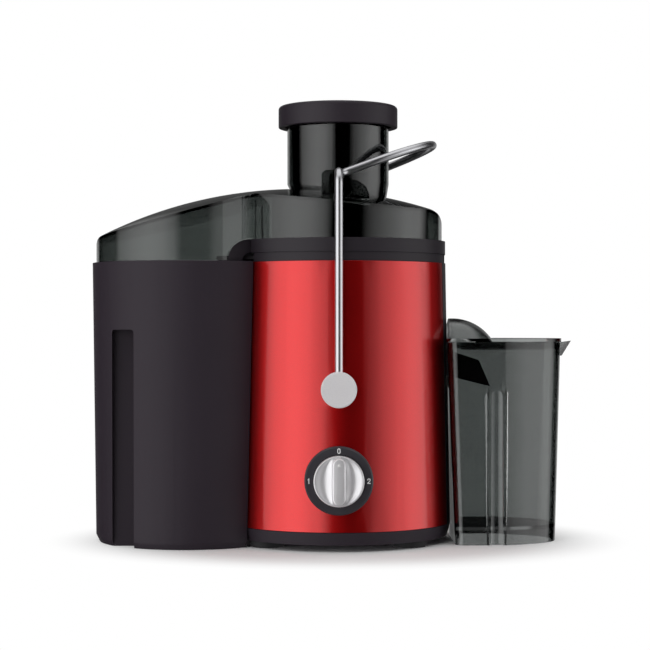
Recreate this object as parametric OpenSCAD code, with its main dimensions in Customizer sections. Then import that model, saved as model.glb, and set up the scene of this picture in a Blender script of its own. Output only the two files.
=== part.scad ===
// Centrifugal juicer: motor unit, juice bowl with spout, spinning strainer basket,
// see-through lid with feed tube, wire clamp bail, pulp container and juice jug.
// Millimetres, +Z up. The drive axis is the Z axis, and Z = 0 is the worktop.
// +X points to the jug, -X to the pulp container, -Y to the control knob.

/* [Motor unit] */
// Outer radius of the painted wrap at its lower edge
wrap_base_r = 79.2; // [78.4:0.1:79.6]
// Outer radius of the painted wrap at its upper edge
wrap_top_r = 75.9; // [75.2:0.1:76.4]
// Sheet thickness of the wrap
wrap_t = 0.8; // [0.6:0.1:1.2]
// Height of the wrap's upper edge above the worktop
wrap_top_z = 195.3; // [194.8:0.1:195.8]
// Half width of the bare housing strip on the jug side
strip_half_w = 23; // [20:0.5:26]
// Wall of the moulded housing
housing_t = 2.2; // [1.8:0.1:2.8]
// Height of the housing's top rim above the wrap
rim_h = 6; // [5:0.5:6.5]
// Height of the deck under the juice bowl
deck_z = 115.6; // [115.4:0.1:116]
// Thickness of the deck
deck_t = 2.4; // [2:0.1:2.6]
// Outer radius of the motor tower
tower_r = 42; // [41:0.5:42.5]
// Height of the top of the motor tower
tower_top_z = 140; // [138.5:0.5:140.5]

/* [Base and feet] */
// Outer radius of the black base ring
base_ring_r = 79.5; // [79:0.1:80.2]
// Height of the base ring
base_ring_h = 8.6; // [7:0.2:10]
// Thickness of the base floor
base_floor_t = 3; // [2.5:0.5:4]
// Height of the feet below the base ring
foot_h = 4.6; // [3.5:0.1:6]
// Foot radius
foot_r = 12; // [9:0.5:13]
// Distance of the feet from the drive axis along X
foot_x = 49; // [45:1:51]
// Distance of the feet from the drive axis along Y
foot_y = 42; // [38:1:44]
// Shank radius of the base screws
base_screw_r = 1.8; // [1.5:0.1:2.2]
// Distance of the base screws from the drive axis
base_screw_pcr = 63; // [62:0.5:65]

/* [Control knob] */
// Height of the knob's axis
knob_z = 48.2; // [46:0.5:52]
// Radius of the black bezel
bezel_r = 23; // [21:0.5:25]
// Radius of the knob
knob_r = 16.9; // [15:0.1:17.5]
// Depth of the knob's disc in front of the bezel floor
knob_h = 8; // [6:0.5:9]
// Width of the knob's grip bar at its foot
grip_w = 9.7; // [8:0.1:11]
// Height of the grip bar over the knob's disc
grip_h = 5.2; // [4:0.1:7]
// Radius of the switch spindle
spindle_r = 3; // [2.5:0.1:3.5]

/* [Clamp bail] */
// Diameter of the bail's steel wire
wire_d = 5.5; // [4.5:0.1:6]
// Height of the bail's pivot axis
pivot_z = 108.8; // [107:0.2:110]
// Distance of the arms from the drive axis
arm_y = 81.6; // [81:0.1:83]
// Height of the wire over the lid, above the pivot
bail_rise = 145.8; // [145.8:0.1:147]
// Half width of the bow over the lid
bow_half_w = 50; // [49:0.5:51]
// Straight run of the bow before its round end
bow_straight = 21.5; // [18:0.5:24]
// Angle of the bow above level
bow_tilt = 20; // [16:1:24]
// Radius of the pivot hubs
hub_r = 12; // [10:0.5:13]
// Length of the pivot hubs
hub_h = 9.2; // [8.6:0.1:11]
// Radius of the pivot pins
pin_r = 4; // [3.5:0.1:4.5]

/* [Lid and feed tube] */
// Radius of the lid over the bowl
lid_r = 73.4; // [72.4:0.1:74.4]
// Radius of the lid's pulp end
lid_pulp_r = 65.9; // [64.5:0.1:66.5]
// Wall of the lid
lid_t = 2.4; // [2:0.1:3]
// Height of the lid's crown
lid_top_z = 247.8; // [246.8:0.2:248.8]
// Outer radius of the feed tube
tube_r = 35.9; // [35:0.1:36.4]
// Wall of the feed tube
tube_t = 2.5; // [2:0.1:2.8]
// Height of the feed tube's mouth
tube_top_z = 299.7; // [298:0.1:301]
// Height of the feed tube's lower end above the grater
tube_gap = 4; // [3:0.5:6]

/* [Pusher] */
// Radial play of the pusher in the feed tube
pusher_play = 0.7; // [0.4:0.1:1]
// Outer radius of the pusher's cap
cap_r = 42.2; // [41:0.1:43]
// Height of the pusher's cap
cap_h = 15.2; // [13:0.1:17]

/* [Juice bowl and basket] */
// Outer radius of the bowl's wall
bowl_r = 67; // [66.5:0.1:67.5]
// Wall of the bowl
bowl_t = 2.2; // [1.8:0.1:2.4]
// Outer radius of the bowl's collar
collar_r = 75.9; // [75.4:0.1:76.4]
// Height of the bowl's collar
collar_h = 9.3; // [8.8:0.1:9.8]
// Half width of the juice spout
spout_half_w = 13; // [10:0.5:14]
// Upper radius of the strainer basket
basket_top_r = 58; // [56:0.5:59]
// Lower radius of the strainer basket
basket_low_r = 47; // [45:0.5:49]
// Height of the strainer mesh
mesh_h = 40; // [38:0.5:41]
// Sheet thickness of the strainer
mesh_t = 0.8; // [0.6:0.1:1.2]
// Radius of the grater disc
grater_r = 44; // [42:0.5:45]

/* [Motor] */
// Radius of the motor shaft
shaft_r = 4; // [3.8:0.1:4.2]
// Outer radius of the two ball bearings
bearing_r = 11; // [10:0.5:12]
// Width of the ball bearings
bearing_w = 7; // [6:0.5:7.5]
// Radius of the armature core
armature_r = 21.6; // [20:0.1:21.9]
// Height of the lamination stacks
stack_h = 40; // [36:1:40]
// Width of the stator core along X
core_x = 76; // [74:1:80]
// Width of the stator core along Y
core_y = 66; // [65:1:70]
// Radius of the cooling fan
fan_r = 38; // [34:0.5:42]

/* [Pulp container] */
// Distance of the container's round wall centre from the drive axis
pulp_x = 105; // [104:0.5:106]
// Radius of the container at its rim
pulp_top_r = 68.6; // [68:0.1:69.2]
// Radius of the container at its foot
pulp_base_r = 66; // [64:0.5:68]
// Height of the container
pulp_h = 195.5; // [190:0.5:195.5]
// Wall of the container
pulp_t = 2.2; // [1.8:0.1:3]
// Height of the container's grip grooves
pulp_groove_h = 148.7; // [130:0.5:160]
// Width of the container's grip grooves
pulp_groove_w = 16; // [12:0.5:20]

/* [Juice jug] */
// X of the jug's flat side at its foot
jug_x0 = 80.8; // [80.6:0.1:82]
// Length of the jug at its foot
jug_l = 72.9; // [70:0.1:75]
// Half width of the jug at its foot
jug_half_w = 37.5; // [34:0.5:40]
// Growth of the jug's outline from foot to rim
jug_flare = 1.089; // [1.06:0.001:1.09]
// Height of the jug's rim
jug_h = 139.8; // [138:0.2:141]
// Wall of the jug
jug_t = 2.2; // [1.8:0.1:2.8]
// Height of the jug's grip groove
jug_groove_h = 106.5; // [95:0.5:112]
// Width of the jug's grip groove
jug_groove_w = 13; // [12:0.5:16]
// Radius of the hood on the jug's lid
hood_r = 34; // [31:0.5:36]

/* [Hidden] */
$fn = 96;

// Clearances: between parts that stand still, round a turning shaft, and round a loose part
seat = 0.2;
run = 0.05;
free = 0.8;
// A little extra length for cuts that go right through
eps = 1;

// Heights of the base and the wrap
base_z = foot_h;
base_top = base_z + base_ring_h;
base_floor_top = base_z + base_floor_t;
rim_top_z = wrap_top_z + rim_h;
collar_z = rim_top_z + 0.1;
collar_top_z = collar_z + collar_h;
wrap_lean = (wrap_top_r - wrap_base_r) / (wrap_top_z - base_top);

// Outer radius of the wrap at a height
function wrap_r(z) = wrap_base_r + wrap_lean * (z - base_top);

// A cone that follows the wrap between two heights, grown by d
module wrap_cone(z0, z1, d) {
    translate([0, 0, z0]) cylinder(h = z1 - z0, r1 = wrap_r(z0) + d, r2 = wrap_r(z1) + d);
}

// A cylinder along Y from y0 to y1 at height z
module y_rod(r, y0, y1, z, r_end = 0) {
    translate([0, y0, z]) rotate([-90, 0, 0])
        cylinder(h = y1 - y0, r1 = r, r2 = r_end > 0 ? r_end : r);
}

// A box given by its centre in X and Y and its two heights
module block(cx, cy, lx, ly, z0, z1) {
    translate([cx - lx / 2, cy - ly / 2, z0]) cube([lx, ly, z1 - z0]);
}

module ring(r_out, r_in, z0, z1) {
    difference() {
        translate([0, 0, z0]) cylinder(h = z1 - z0, r = r_out);
        translate([0, 0, z0 - eps]) cylinder(h = z1 - z0 + 2 * eps, r = r_in);
    }
}

// Children at the four feet, and at the four base screws
module at_feet() {
    for (sx = [-1, 1], sy = [-1, 1]) translate([sx * foot_x, sy * foot_y, 0]) children();
}
module at_base_screws() {
    for (a = [0:90:270]) rotate([0, 0, a]) translate([base_screw_pcr, 0, 0]) children();
}

// ---- Base, feet and base screws ----

foot_pocket = 1.8;
foot_stem_r = 3;
foot_stem_h = 3;
screw_head_r = 3.4;
screw_head_h = 1.8;
base_post_r = 5;
base_post_h = 18;
vent_count = 18;

module base_plate() {
    color("#26232a") difference() {
        translate([0, 0, base_z]) cylinder(h = base_ring_h, r1 = base_ring_r - 2.2, r2 = base_ring_r);
        translate([0, 0, base_floor_top]) cylinder(h = base_ring_h, r = base_ring_r - 7);
        at_feet() {
            translate([0, 0, base_z - eps]) cylinder(h = foot_pocket + eps, r = foot_r + seat);
            translate([0, 0, base_z]) cylinder(h = base_ring_h, r = foot_stem_r + seat);
        }
        at_base_screws() {
            translate([0, 0, base_z - eps]) cylinder(h = base_floor_t + 2 * eps, r = base_screw_r + seat);
            translate([0, 0, base_z - eps]) cylinder(h = screw_head_h + eps, r = screw_head_r + seat);
        }
        for (i = [0:vent_count - 1]) rotate([0, 0, (i + 0.5) * 360 / vent_count])
            block(fan_r - 12, 0, 18, 3, base_z - eps, base_floor_top + eps);
    }
}

module feet() {
    color("#1c1a1e") at_feet() {
        cylinder(h = foot_h - 1, r1 = foot_r - 0.8, r2 = foot_r);
        translate([0, 0, foot_h - 1]) cylinder(h = 1 + foot_pocket - seat, r = foot_r);
        cylinder(h = foot_h + foot_pocket + foot_stem_h, r = foot_stem_r);
    }
}

module base_screws() {
    color("#9a9a9c") at_base_screws() {
        translate([0, 0, base_z]) cylinder(h = screw_head_h - seat, r = screw_head_r);
        translate([0, 0, base_z]) cylinder(h = base_post_h - 2, r = base_screw_r);
    }
}

// ---- Housing and wrap ----

housing_r_gap = 0.2;
post_pcr = 30;
post_r = 5;
post_z = 127;
mount_screw_r = 1.9;
mount_r = 6;
seal_r = 9;
boss_r = 9;
boss_in_y = 60;
bush_r = 6;
notch_gap = 0.6;
notch_z = 115.2;
notch_x = 66;
shelf_z = 87;
shelf_t = 3;
gland_z = 36;
gland_r = 6;
switch_nose_r = 6;
rim_r = 75.1;
pulp_gap_x = 58;
pulp_gap_y = 62;

function housing_out_r(z) = wrap_r(z) - wrap_t - housing_r_gap;

// The housing's bore for the bowl
well_r = bowl_r + 1.2;

module at_mounts() {
    for (a = [45:90:315]) rotate([0, 0, a]) translate([post_pcr, 0, 0]) children();
}

module inner_housing() {
    shell_d = -wrap_t - housing_r_gap;
    color("#2b282e") difference() {
        union() {
            // Conical shell under the wrap, with the strip on the jug side a little proud of the wrap
            difference() {
                union() {
                    wrap_cone(base_top, wrap_top_z, shell_d);
                    intersection() {
                        wrap_cone(base_top, wrap_top_z, 0.15);
                        translate([50, -strip_half_w + seat, base_top])
                            cube([60, 2 * (strip_half_w - seat), wrap_top_z - base_top]);
                    }
                }
                wrap_cone(base_top - eps, wrap_top_z + eps, shell_d - housing_t);
            }
            // Top rim that carries the bowl's collar, open towards the pulp container
            ring(rim_r - 1, well_r, wrap_top_z - 3, wrap_top_z + 0.5);
            difference() {
                ring(rim_r, well_r, wrap_top_z, rim_top_z);
                translate([-200 - pulp_gap_x, -pulp_gap_y, wrap_top_z - eps])
                    cube([200, 2 * pulp_gap_y, rim_h + 2 * eps]);
            }
            at_base_screws() translate([0, 0, base_floor_top]) cylinder(h = base_post_h, r = base_post_r);
            intersection() {
                union() {
                    // Bosses for the bail's pivots
                    y_rod(boss_r, -wrap_base_r, -boss_in_y, pivot_z);
                    y_rod(boss_r, boss_in_y, wrap_base_r, pivot_z);
                    // Shelf for the interlock switch
                    block(0, 66, 24, 24, shelf_z, shelf_z + shelf_t);
                    // Ribs that tie the posts of the base screws to the wall
                    at_base_screws() block(8, 0, 16, 3, base_top, base_floor_top + base_post_h - 1);
                }
                wrap_cone(base_top, wrap_top_z, shell_d - 1);
            }
        }
        at_base_screws() translate([0, 0, base_z]) cylinder(h = base_post_h, r = base_screw_r + run);
        y_rod(bush_r + run, -100, -50, pivot_z);
        y_rod(bush_r + run, 50, 100, pivot_z);
        y_rod(switch_nose_r + seat, -100, -60, knob_z);
        y_rod(gland_r + seat, 60, 100, gland_z);
        spout_notch();
    }
}

// Notch that the juice spout drops into
module spout_notch() {
    translate([notch_x, -spout_half_w - notch_gap, notch_z])
        cube([30, 2 * (spout_half_w + notch_gap), rim_top_z - notch_z + eps]);
}

// Deck under the bowl, with the tower that holds the motor and its four posts
module motor_deck() {
    color("#2b282e") difference() {
        union() {
            intersection() {
                translate([0, 0, deck_z]) cylinder(h = deck_t, r = wrap_base_r);
                wrap_cone(base_top, wrap_top_z, -wrap_t - housing_r_gap - housing_t - seat);
            }
            translate([0, 0, deck_z]) cylinder(h = tower_top_z - deck_z, r = tower_r);
        }
        translate([0, 0, deck_z - eps]) difference() {
            cylinder(h = tower_top_z - deck_z - 2, r = tower_r - 2.5);
            at_mounts() cylinder(h = tower_top_z, r = post_r);
        }
        at_mounts() {
            translate([0, 0, deck_z - eps]) cylinder(h = post_z - deck_z + eps, r = post_r + 1);
            translate([0, 0, post_z - eps]) cylinder(h = 9 + eps, r = mount_screw_r + run);
        }
        translate([0, 0, tower_top_z - 10]) cylinder(h = 20, r = seal_r + run);
        y_rod(boss_r + seat, -100, -boss_in_y + seat, pivot_z);
        y_rod(boss_r + seat, boss_in_y - seat, 100, pivot_z);
        spout_notch();
    }
}

module body_wrap() {
    color("#c8171d") difference() {
        wrap_cone(base_top + seat, wrap_top_z - seat, 0);
        wrap_cone(base_top - eps, wrap_top_z + eps, -wrap_t);
        translate([0, -strip_half_w, base_top - eps]) cube([100, 2 * strip_half_w, 200]);
        y_rod(pin_r + free, -100, 100, pivot_z);
        y_rod(switch_nose_r + free, -100, 0, knob_z);
        y_rod(gland_r + seat, 0, 100, gland_z);
    }
}

// ---- Mains inlet, terminal block and internal leads ----

lead_bore_r = 3.6;
lead_throat_l = 6.4;
gland_flange_r = 9;
gland_out = 8;

module cord_gland() {
    face_y = wrap_r(gland_z);
    throat_y = face_y + gland_out - lead_throat_l;
    color("#1c1a1e") difference() {
        union() {
            y_rod(gland_r, face_y - 8, face_y + gland_out, gland_z, gland_r - 0.8);
            intersection() {
                y_rod(gland_flange_r, face_y - 2, face_y + 1.8, gland_z);
                difference() {
                    cylinder(h = 100, r = 100);
                    wrap_cone(base_top, wrap_top_z, 0.02);
                }
            }
        }
        y_rod(lead_bore_r, 0, 120, gland_z);
        y_rod(lead_bore_r + 0.8, 0, throat_y, gland_z);
    }
}

block_x = -30;
block_y = 50;
block_h = 11;

module terminal_block() {
    color("#d8d4c8") difference() {
        block(block_x, block_y, 16, 10, base_floor_top, base_floor_top + block_h);
        for (s = [-1, 1]) translate([block_x + s * 4, block_y, base_floor_top + 4])
            cylinder(h = block_h, r = 1.6);
    }
}

lead_r = 1.1;
lead_end = lead_r + 0.1;

// A lead that runs straight from point to point
module lead(points) {
    for (i = [0:len(points) - 2]) hull() {
        translate(points[i]) sphere(r = lead_r, $fn = 8);
        translate(points[i + 1]) sphere(r = lead_r, $fn = 8);
    }
}

module internal_leads() {
    block_top = base_floor_top + block_h;
    switch_back = -switch_front_y + switch_d;
    color("#7a4a2c") {
        lead([[block_x - 4, block_y, block_top], [block_x - 4, block_y, 30], [-55, 30, 32],
            [-57, -20, 32], [-30, -46, 34], [-switch_w / 2 - lead_end, switch_back - 8, knob_z - 8]]);
        lead([[block_x + 4, block_y, block_top], [block_x + 4, block_y, 40],
            [-44, 28, brush_z], [-44, 0, brush_z], [-holder_x1 - lead_end, 0, brush_z]]);
        lead([[switch_w / 2 + lead_end, switch_back - 8, knob_z], [36, -46, knob_z + 2],
            [46, -16, brush_z], [46, 0, brush_z], [holder_x1 + lead_end, 0, brush_z]]);
    }
}

// ---- Control knob and speed switch ----

bezel_front_y = wrap_r(knob_z) + 4;
bezel_floor_y = wrap_r(knob_z) + 1.6;
knob_back_y = bezel_floor_y + 0.4;
knob_face_y = knob_back_y + knob_h;
switch_w = 30;
switch_d = 23;
switch_h = 26;
switch_front_y = wrap_r(knob_z) - wrap_t - housing_t - 3.2;

module knob_bezel() {
    color("#37343a") difference() {
        union() {
            y_rod(bezel_r, -bezel_front_y + 1, -60, knob_z);
            y_rod(bezel_r - 1, -bezel_front_y, -bezel_front_y + 1, knob_z, bezel_r);
        }
        wrap_cone(base_top, wrap_top_z, 0.02);
        y_rod(knob_r + 0.5, -100, -bezel_floor_y, knob_z);
        y_rod(spindle_r + 0.5, -100, 0, knob_z);
    }
}

numeral_h = 3.6;
numeral_w = 2.2;
numeral_t = 0.6;
numeral_raise = 0.2;

module numeral_zero() {
    difference() {
        union() for (s = [-1, 1]) {
            translate([0, s * (numeral_h - numeral_w) / 2]) circle(d = numeral_w, $fn = 32);
            square([numeral_w, numeral_h - numeral_w], center = true);
        }
        union() for (s = [-1, 1]) {
            translate([0, s * (numeral_h - numeral_w) / 2])
                circle(d = numeral_w - 2 * numeral_t, $fn = 32);
            square([numeral_w - 2 * numeral_t, numeral_h - numeral_w], center = true);
        }
    }
}

module numeral_one() {
    square([numeral_t, numeral_h], center = true);
    polygon([[0, numeral_h / 2], [-0.9, numeral_h / 2 - 0.9], [-0.9, numeral_h / 2 - 1.4],
        [0, numeral_h / 2 - 0.6]]);
}

module numeral_two() {
    bow = numeral_w / 2;
    bow_y = numeral_h / 2 - bow;
    intersection() {
        translate([0, bow_y]) difference() {
            circle(r = bow, $fn = 32);
            circle(r = bow - numeral_t, $fn = 32);
        }
        translate([-bow, bow_y - 0.3]) square([numeral_w, numeral_h]);
    }
    polygon([[bow, bow_y - 0.3], [bow - numeral_t, bow_y - 0.3],
        [-bow, -numeral_h / 2 + numeral_t], [-bow, -numeral_h / 2], [-bow + 0.5, -numeral_h / 2]]);
    translate([-bow, -numeral_h / 2]) square([numeral_w, numeral_t]);
}

// A flat mark on the bezel's front, at an offset from the knob's axis
module dial_mark(dx, dz) {
    translate([dx, -bezel_front_y, knob_z + dz]) rotate([90, 0, 0])
        linear_extrude(numeral_raise) children();
}

module dial_numerals() {
    mark_r = (bezel_r + knob_r) / 2;
    color("#f2f2f2") {
        dial_mark(0, mark_r) numeral_zero();
        dial_mark(-mark_r, 0) numeral_one();
        dial_mark(mark_r, 0) numeral_two();
    }
}

module speed_switch() {
    nose_y = switch_front_y + 5;
    color("#e6e2d6") difference() {
        union() {
            translate([-switch_w / 2, -switch_front_y, knob_z - switch_h / 2])
                cube([switch_w, switch_d, switch_h]);
            y_rod(switch_nose_r, -nose_y, -switch_front_y, knob_z);
            for (s = [-1, 0, 1]) translate([s * 8 - 2, -switch_front_y + switch_d, knob_z - 3])
                cube([4, 5, 0.8]);
        }
        y_rod(spindle_r + run, -100, -switch_front_y + 12, knob_z);
    }
}

module knob_spindle() {
    color("#b9b9bb") y_rod(spindle_r, -knob_face_y + 2, -switch_front_y + 11, knob_z);
}

module control_knob() {
    color("#c9c9cb") difference() {
        union() {
            y_rod(knob_r, -knob_back_y - knob_h + 1.5, -knob_back_y, knob_z);
            y_rod(knob_r - 1.5, -knob_face_y, -knob_face_y + 1.5, knob_z, knob_r);
            // Grip bar with slanted flanks
            intersection() {
                translate([0, 0, knob_z - knob_r]) linear_extrude(2 * knob_r)
                    polygon([[-grip_w / 2, -knob_face_y + 1], [-grip_w / 2, -knob_face_y],
                        [-grip_w / 2 + 0.9, -knob_face_y - grip_h],
                        [grip_w / 2 - 0.9, -knob_face_y - grip_h],
                        [grip_w / 2, -knob_face_y], [grip_w / 2, -knob_face_y + 1]]);
                y_rod(knob_r - 2.2, -knob_face_y - grip_h, 0, knob_z, knob_r - 0.5);
            }
        }
        y_rod(spindle_r, -knob_face_y + 2, 0, knob_z);
        at_pointer() cylinder(h = 2, r = pointer_r);
    }
}

pointer_r = 1;
pointer_t = 0.6;
pointer_up = 11;

// The dimple near the end of the grip bar
module at_pointer() {
    translate([0, -knob_face_y - grip_h + pointer_t, knob_z + pointer_up]) rotate([90, 0, 0]) children();
}

module knob_pointer() {
    color("#ffffff") at_pointer() cylinder(h = pointer_t, r = pointer_r);
}

// ---- Motor ----

fan_z = 19;
fan_h = 14;
lower_bracket_z = 37;
bracket_t = 4;
bracket_r = 36;
lower_bearing_z = 36.5;
pocket_wall = 3;
race_t = 2.2;
race_recess = 0.6;
commutator_z = 45.5;
commutator_h = 14;
commutator_r = 12.5;
stack_z = 66;
end_turn = 6.2;
winding_r = armature_r - 4;
winding_end_r = winding_r - 3.6;
upper_bracket_z = stack_z + stack_h + end_turn + 3.8;
upper_bearing_z = upper_bracket_z + 1.5;
through_y = 29.4;
through_r = 2;
brush_z = 52;
brush_w = 6;
holder_w = 10;
holder_x0 = 14;
holder_x1 = 36;
shaft_low_z = fan_z - 2;
coupling_z = tower_top_z + 3;
coupling_h = 17;
coupling_r = 11.5;
lug_count = 6;
lug_r = 14;
hub_socket_r = lug_r + 0.4;
hub_wall = 3;
basket_floor_z = coupling_z + coupling_h + 0.3;
basket_floor_t = 3;
mesh_z = basket_floor_z + basket_floor_t;
grater_z = mesh_z + 0.2;
grater_t = 1;

module motor_shaft() {
    color("#a9a9ad") translate([0, 0, shaft_low_z])
        cylinder(h = coupling_z + coupling_h - 1 - shaft_low_z, r = shaft_r);
}

module cooling_fan() {
    color("#d9d7cf") difference() {
        union() {
            translate([0, 0, fan_z]) cylinder(h = 2, r = fan_r);
            translate([0, 0, fan_z]) cylinder(h = fan_h, r = 9);
            for (i = [0:8]) rotate([0, 0, i * 40]) translate([fan_r / 2 + 3, 4, fan_z])
                rotate([0, 0, 18]) translate([-fan_r / 4 - 2, -0.8, 0]) cube([fan_r / 2 + 1, 1.6, fan_h]);
        }
        translate([0, 0, fan_z - eps]) cylinder(h = fan_h + 2 * eps, r = shaft_r);
    }
}

// A spoked bracket with a bearing pocket that opens upwards
module bracket(z, bearing_at) {
    difference() {
        union() {
            translate([0, 0, z]) cylinder(h = bracket_t, r = bracket_r);
            translate([0, 0, bearing_at - 1.5])
                cylinder(h = bearing_w + 1.5, r = bearing_r + pocket_wall);
        }
        translate([0, 0, bearing_at]) cylinder(h = bearing_w + eps, r = bearing_r + run);
        translate([0, 0, z - 5]) cylinder(h = 20, r = shaft_r + 1.5);
        for (a = [0, 180]) rotate([0, 0, a]) translate([24, 0, z - eps])
            cylinder(h = bracket_t + 2 * eps, r = 7);
        for (s = [-1, 1]) translate([0, s * through_y, z - eps])
            cylinder(h = bracket_t + 2 * eps, r = through_r + run);
    }
}

module lower_bracket() {
    color("#b4b4b0") bracket(lower_bracket_z, lower_bearing_z);
}

module upper_bracket() {
    color("#b4b4b0") difference() {
        bracket(upper_bracket_z, upper_bearing_z);
        at_mounts() translate([0, 0, upper_bracket_z - eps])
            cylinder(h = bracket_t + 2 * eps, r = mount_screw_r + seat);
    }
}

module bearing(z) {
    color("#c4c4c8") difference() {
        ring(bearing_r, shaft_r + run, z, z + bearing_w);
        // Recess between the two rings, on both faces
        ring(bearing_r - race_t, shaft_r + race_t, z - eps, z + race_recess);
        ring(bearing_r - race_t, shaft_r + race_t, z + bearing_w - race_recess, z + bearing_w + eps);
    }
}

module lower_bearing() { bearing(lower_bearing_z); }
module upper_bearing() { bearing(upper_bearing_z); }

module commutator() {
    color("#c07a48") difference() {
        ring(commutator_r, shaft_r, commutator_z, commutator_z + commutator_h);
        for (i = [0:11]) rotate([0, 0, i * 30])
            block(commutator_r, 0, 3, 0.6, commutator_z + 2, commutator_z + commutator_h + eps);
    }
}

module at_brushes() {
    for (a = [0, 180]) rotate([0, 0, a]) children();
}

module brush_holders() {
    length = holder_x1 - holder_x0;
    color("#c9a24a") at_brushes() difference() {
        union() {
            translate([holder_x0, -holder_w / 2, brush_z - holder_w / 2]) cube([length, holder_w, holder_w]);
            // Foot on the lower bracket
            translate([holder_x1 - 8, -holder_w / 2, lower_bracket_z + bracket_t])
                cube([8, holder_w, brush_z - lower_bracket_z - bracket_t]);
        }
        translate([holder_x0 - eps, -brush_w / 2 - 0.1, brush_z - brush_w / 2 - 0.1])
            cube([length - 2 + eps, brush_w + 0.2, brush_w + 0.2]);
    }
}

brush_l = 13;

module carbon_brushes() {
    color("#2e2e30") at_brushes()
        translate([commutator_r + 0.3, -brush_w / 2, brush_z - brush_w / 2])
            cube([brush_l, brush_w, brush_w]);
}

module brush_springs() {
    start = commutator_r + 0.3 + brush_l + 0.5;
    turns = 5;
    pitch = (holder_x1 - 2.6 - start) / (turns - 1);
    color("#8f8f92") at_brushes() for (i = [0:turns - 1])
        translate([start + i * pitch, 0, brush_z]) rotate([0, 90, 0])
            rotate_extrude($fn = 32) translate([2, 0]) circle(r = 0.45, $fn = 16);
}

window_x = 24;
window_w = 8;
window_y = 19.2;
window_l = 7.6;

module stator_core() {
    color("#6f7076") difference() {
        intersection() {
            block(0, 0, core_x, core_y, stack_z, stack_z + stack_h);
            translate([0, 0, stack_z]) cylinder(h = stack_h, r = norm([core_x, core_y]) / 2 - 6);
        }
        translate([0, 0, stack_z - eps]) cylinder(h = stack_h + 2 * eps, r = armature_r + 0.8);
        for (sx = [-1, 1], sy = [-1, 1])
            block(sx * (window_x + window_w / 2), sy * (window_y + window_l / 2), window_w, window_l,
                stack_z - eps, stack_z + stack_h + eps);
        for (s = [-1, 1]) translate([0, s * through_y, stack_z - eps])
            cylinder(h = stack_h + 2 * eps, r = through_r + run);
    }
}

module stator_coils() {
    out_x = window_x + window_w - 0.6;
    in_x = window_x + 0.6;
    color("#a8551f") for (s = [-1, 1]) difference() {
        block(0, s * (window_y + window_l / 2), 2 * out_x, window_l - 1,
            stack_z - end_turn, stack_z + stack_h + end_turn);
        block(0, s * (window_y + window_l / 2), 2 * in_x, window_l + 1,
            stack_z - 0.3, stack_z + stack_h + 0.3);
    }
}

module armature_core() {
    color("#85868c") difference() {
        ring(armature_r, shaft_r, stack_z, stack_z + stack_h);
        for (i = [0:11]) rotate([0, 0, i * 30])
            block(armature_r - 2, 0, 8, 2.2, stack_z - eps, stack_z + stack_h + eps);
    }
}

module armature_windings() {
    color("#a8551f") {
        difference() {
            translate([0, 0, stack_z - end_turn])
                cylinder(h = end_turn, r1 = winding_end_r, r2 = winding_r);
            translate([0, 0, stack_z - end_turn - eps]) cylinder(h = end_turn + 2 * eps, r = shaft_r);
        }
        difference() {
            translate([0, 0, stack_z + stack_h])
                cylinder(h = end_turn, r1 = winding_r, r2 = winding_end_r);
            translate([0, 0, stack_z + stack_h - eps]) cylinder(h = end_turn + 2 * eps, r = shaft_r);
        }
    }
}

module motor_screws() {
    color("#8d8e92") for (s = [-1, 1]) translate([0, s * through_y, lower_bracket_z - 2.4]) {
        cylinder(h = 2.4, r = 3.6);
        cylinder(h = upper_bracket_z + bracket_t + 5 - lower_bracket_z, r = through_r);
        translate([0, 0, upper_bracket_z + bracket_t + 2.4 - lower_bracket_z])
            cylinder(h = 3, r = 3.5, $fn = 6);
    }
}

module rubber_mounts() {
    low = upper_bracket_z + bracket_t;
    color("#1c1a1e") at_mounts() ring(mount_r, mount_screw_r + seat, low, post_z);
}

module mount_screws() {
    color("#8d8e92") at_mounts() {
        translate([0, 0, upper_bracket_z - 2]) cylinder(h = 2, r = 3.5);
        translate([0, 0, upper_bracket_z - 2]) cylinder(h = post_z + 9 - upper_bracket_z, r = mount_screw_r);
    }
}

module shaft_seal() {
    color("#1c1a1e") difference() {
        union() {
            translate([0, 0, tower_top_z - 3.2]) cylinder(h = 4.2, r = seal_r);
            translate([0, 0, tower_top_z]) cylinder(h = 1, r = seal_r + 2);
        }
        translate([0, 0, tower_top_z - 5]) cylinder(h = 10, r = shaft_r + run);
    }
}

module drive_coupling() {
    color("#d8d4c8") difference() {
        union() {
            translate([0, 0, coupling_z]) cylinder(h = coupling_h, r = coupling_r);
            for (i = [0:lug_count - 1]) rotate([0, 0, i * 360 / lug_count])
                block(coupling_r + (lug_r - coupling_r) / 2 - 0.5, 0, lug_r - coupling_r + 1, 4,
                    coupling_z + 3, coupling_z + coupling_h);
        }
        translate([0, 0, coupling_z - eps]) cylinder(h = coupling_h, r = shaft_r);
    }
}

// ---- Juice bowl ----

bowl_fall = 7.5;
floor_right_z = 121.4;
chimney_r = tower_r + 1.2;
chimney_top_z = tower_top_z + 10;
spout_tip_x = 106.7;
spout_tip_z = 108.9;
spout_low_slope = 13.6;
spout_mouth_x = 98.8;
spout_mouth_z = 127.3;
spout_top_slope = 18.2;
spout_root_x = bowl_r - bowl_t - 1;
spout_wall = 2;
cheek_x = 60;
cheek_step = 0.3;
cheek_z = wrap_top_z + 0.4;
cheek_r = collar_top_z - cheek_z;
lip_x = 84;
lip_z = pulp_h + 1.5;
lip_t = 2.2;
lip_half_w = 44;
lip_root_half_w = 34;
crease_x = 78.4;
waist_x = 57;

// Half width of the lid's pulp end at its crease, and of its round part at the waist
crease_y = sqrt(pow(lid_pulp_r, 2) - pow(pulp_x - crease_x, 2));
waist_y = sqrt(pow(lid_r, 2) - pow(waist_x, 2));

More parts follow.
